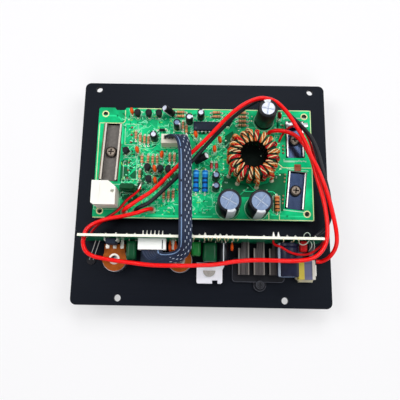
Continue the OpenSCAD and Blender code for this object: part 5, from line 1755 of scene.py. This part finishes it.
def makeTab(look, top):
    pile = newPile()
    addBox(pile, (look["at"], 14.4, top + 0.5), (4.4, 4.6, 1.0), bevel=0.25)
    addBox(pile, (look["at"], 15.6, top + 1.15), (3.2, 1.2, 0.4), bevel=0.15)
    plainPiece("fibreTab", pile, "brown_wafer", look["fibre"], look["fibreShade"], rough=0.55, scale=500)


solderLook = {"tin": (232, 230, 222), "tinShade": (190, 188, 180), "pin": 0.36}
solderJoints = [  # x, z and reach
    (-72, 11.5, 0.8), (-60.5, 21, 1.2), (-54, 22, 1.5), (-47, 23, 1.0), (-42, 22.5, 1.3), (-20, 22, 1.2),
    (-6, 24, 1.0), (-1.6, 22, 1.4), (2, 23.5, 2.0), (8.4, 22.4, 1.6), (11.4, 24, 1.4), (15.4, 23, 1.4),
    (19, 22, 1.2), (28, 23.5, 1.0), (38.5, 24, 1.0), (44.4, 24.5, 3.0), (47.4, 24.5, 3.0), (53, 23.6, 1.4),
    (58, 24, 1.2), (70.6, 23.4, 1.2),
]


def makeSolder(look):
    # joints and the plug's pins behind the control board
    pile = newPile()
    for x, z, reach in solderJoints:
        cone = [(0, 0), (1.1, 0), (0.95, reach * 0.3), (0.5, reach * 0.75), (0.3, reach), (0, reach)]
        addLathe(pile, cone, spot(x, backFace, z, 0, -90), 0, 12)
    for k in range(6):
        x = -37.65 + 2.5 * k
        pin = [(x, backFace, 17), (x, -33, 17.1), (x + 0.2, -31.2, 17.4)]
        addTube(pile, pin, look["pin"], taper=[1, 1, 0.7])
    plainPiece("controlSolder", pile, "tinned_metal", look["tin"], look["tinShade"], sharp=60, rough=0.3,
        Metallic=0.5)


legLook = {"brass": (214, 204, 160), "brassShade": (150, 136, 96), "leg": 0.25}
bentLegs = [  # x, and how far each is bent aside
    (-8, 0.5), (-4.6, -0.4), (1.2, 0.6), (3.8, 0.3), (6.4, -0.5), (9, 0.4), (11.4, -0.6), (13.6, 0.5),
    (16.2, -0.3), (18.8, 0.6), (22.4, -0.4), (49.6, 0.5), (56.4, -0.5), (59, 0.4),
]


def makeBentLegs(look):
    # legs of the parts on the board's front, bent over below its upper edge
    pile = newPile()
    for x, bend in bentLegs:
        leg = [(x, frontFace, 28.6), (x + bend * 0.6, -37.4, 28.8), (x + bend, -38, 27.8),
            (x + bend * 1.4, -38.2, 25.8)]
        addTube(pile, curveThrough(leg, 4), look["leg"])
    plainPiece("frontLegs", pile, "tinned_metal", look["brass"], look["brassShade"], sharp=60, rough=0.35,
        Metallic=0.5)


blockHighlightLook = {"grey": (92, 94, 104), "greyShade": (44, 46, 52), "line": 0.22, "fineLine": 0.14,
    "ear": (38.3, -63.8)}


def makeBlockHighlight(look):
    # painted highlight: thin light lines round the terminal block's top edge, its ear and the ear's hole
    pile = newPile()
    rim = [(37.3 + px, -54.2 + py, 2.4) for px, py in roundedOutline(34.0, 15.4, 2.2)]
    addTube(pile, rim, look["line"], sides=6, closed=True)
    ear = [(px, py, 2.45) for px, py in ringPoints(*look["ear"], 4.0, 22, 186, 168)]
    addTube(pile, ear, look["line"], sides=6)
    hole = [(px, py, 4.2) for px, py in ringPoints(*look["ear"], 2.6, 22)]
    addTube(pile, hole, look["fineLine"], sides=6, closed=True)
    plainPiece("blockEdgeHighlight", pile, "black_plastic", look["grey"], look["greyShade"], rough=0.3)


plugWireLook = {"count": 6, "pitch": 2.5, "middle": -19.4, "wire": 0.62}


def makePlugWires(look):
    pile = newPile()
    for k in range(look["count"]):
        x = look["middle"] + (k - (look["count"] - 1) / 2) * look["pitch"]
        bow = [(x, 31.6, 16.4), (x + 0.3, 31.5, 18.6), (x * 0.72 - 4.6, 31.1, 21.6),
            (x * 0.5 - 7.9, 30.3, 25.0)]
        addTube(pile, curveThrough(bow, 6), look["wire"])
    # painted shade: a dark strip on the plug's top, for its slit
    addBox(pile, (-24.8, -40.2, 20.0), (0.6, 5.6, 0.3), bevel=0.1)
    makePiece("plugWiresAndSlitShade", pile, [blackSleeve], sharp=60)


blockLook = {"red": (176, 18, 20), "redShade": (120, 10, 14), "pale": (196, 210, 196), "wire": 0.25}
blockWires = [
    [(60.4, -36.5, 22), (60.6, -38.4, 23), (62.6, -39.6, 23.6), (65, -38.6, 24.2), (66.6, -36.5, 24)],
    [(67.2, -36.5, 22), (68.4, -38.6, 22.6), (68.2, -41, 21), (67.4, -42.6, 18)],
    [(63.2, -34.9, 23.6), (63.6, -33, 24.6), (65.2, -32, 25.4), (66.8, -33, 24.8), (67.4, -34.9, 23.6)],
    [(69.4, -36.5, 23), (70.2, -39.4, 22), (70.4, -42, 19), (69.8, -44, 15)],
]


def makeBlock(look):
    # a dipped block on the control board's front, with pale wires looped over and behind the board
    pile = newPile()
    addDipped(pile, spot(63.7, -36.6, 19, 0, 90), 4.8, 5, 7, 0)
    for route in blockWires:
        addTube(pile, curveThrough(route, 5), look["wire"], 1)
    red = grainy("redBlock", look["red"], look["redShade"], rough=0.3, scale=300)
    makePiece("frontBlock", pile, [red, grainy("paleWire", look["pale"], rough=0.4)],
        sharp=60)


tipLook = {"thick": 0.8, "redSteps": 19, "blackSteps": 12}


def makeTips(look):
    # tinned ends of the thin pair
    pile = newPile()
    addTube(pile, curveThrough(pairRedRoute[:5], 5)[:look["redSteps"]], look["thick"], sides=12)
    addTube(pile, curveThrough(pairBlackRoute[:4], 5)[:look["blackSteps"]], look["thick"], sides=12)
    makePiece("wireTips", pile, [tinned], sharp=60)


makeStrips(stripLook)
makeShield(shieldLook)
makeTab(tabLook, boardLook["top"])
makeSolder(solderLook)
makeBentLegs(legLook)
makeBlockHighlight(blockHighlightLook)
makePlugWires(plugWireLook)
makeBlock(blockLook)
makeTips(tipLook)
print("trims done")

# floor, backdrop light and lamps

stageLook = {
    "floor": (244, 243, 246),
    "floorHalf": 4,  # m
    "glow": (255, 255, 255),
    "glowShare": 0.5,
    "room": (0.97, 0.98, 1.0, 1),
    "roomLight": 0.14,
    "backdrop": (0.98, 0.98, 1.0, 1),
    "lamps": (
        ("leftLamp", (-0.62, 0.16, 0.85), 0.5, 4.2),
        ("rightLamp", (0.62, 0.16, 0.85), 0.5, 3.6),
        ("backLamp", (0.05, 0.54, 0.9), 0.5, 4.0),
        ("frontLamp", (0.1, -0.75, 0.75), 0.5, 2.4),
    ),
}


def seenRays(tree):
    # 1 for rays that show the surroundings, straight, mirrored or through something clear
    path = addNode(tree, "LightPath")
    seen = mathNode(tree, "MAXIMUM", path.outputs["Is Camera Ray"], path.outputs["Is Glossy Ray"])
    return mathNode(tree, "MAXIMUM", seen, path.outputs["Is Transmission Ray"])


def mixInto(tree, out, share, first, second):
    mix = addNode(tree, "MixShader")
    tree.links.new(share, mix.inputs[0])
    tree.links.new(first.outputs[0], mix.inputs[1])
    tree.links.new(second.outputs[0], mix.inputs[2])
    tree.links.new(mix.outputs[0], out.inputs["Surface"])


def makeFloor(look):
    mesh = bpy.data.meshes.new("studioFloor")
    half, low = look["floorHalf"], cadBox[0].z
    corners = [(-half, -half, low), (half, -half, low), (half, half, low), (-half, half, low)]
    mesh.from_pydata(corners, [], [(0, 1, 2, 3)])
    addObject("studioFloor", mesh)
    material = bpy.data.materials.new("studioFloor")
    material.use_nodes = True
    tree = material.node_tree
    tree.nodes.clear()
    out = tree.nodes.new("ShaderNodeOutputMaterial")
    plain = addNode(tree, "BsdfDiffuse", None, Color=paint(*look["floor"]))
    glow = addNode(tree, "Emission", None, Color=paint(*look["glow"]), Strength=1.0)
    mixInto(tree, out, mathNode(tree, "MULTIPLY", seenRays(tree), look["glowShare"]), plain, glow)
    mesh.materials.append(material)


def makeWorld(look):
    world = bpy.data.worlds.new("studioWorld")
    bpy.context.scene.world = world
    world.use_nodes = True
    tree = world.node_tree
    tree.nodes.clear()
    out = tree.nodes.new("ShaderNodeOutputWorld")
    room = addNode(tree, "Background", None, Color=look["room"], Strength=look["roomLight"])
    backdrop = addNode(tree, "Background", None, Color=look["backdrop"], Strength=1.0)
    mixInto(tree, out, seenRays(tree), room, backdrop)


def makeLamps(look):
    for name, place, size, power in look["lamps"]:
        data = bpy.data.lights.new(name, "AREA")
        data.size = size
        data.energy = power
        lamp = addObject(name, data)
        lamp.location = place
        lamp.rotation_euler = (-Vector(place)).to_track_quat("-Z", "Y").to_euler()


makeFloor(stageLook)
makeWorld(stageLook)
makeLamps(stageLook)
bpy.context.scene.view_settings.view_transform = "Standard"
print("stage lit")
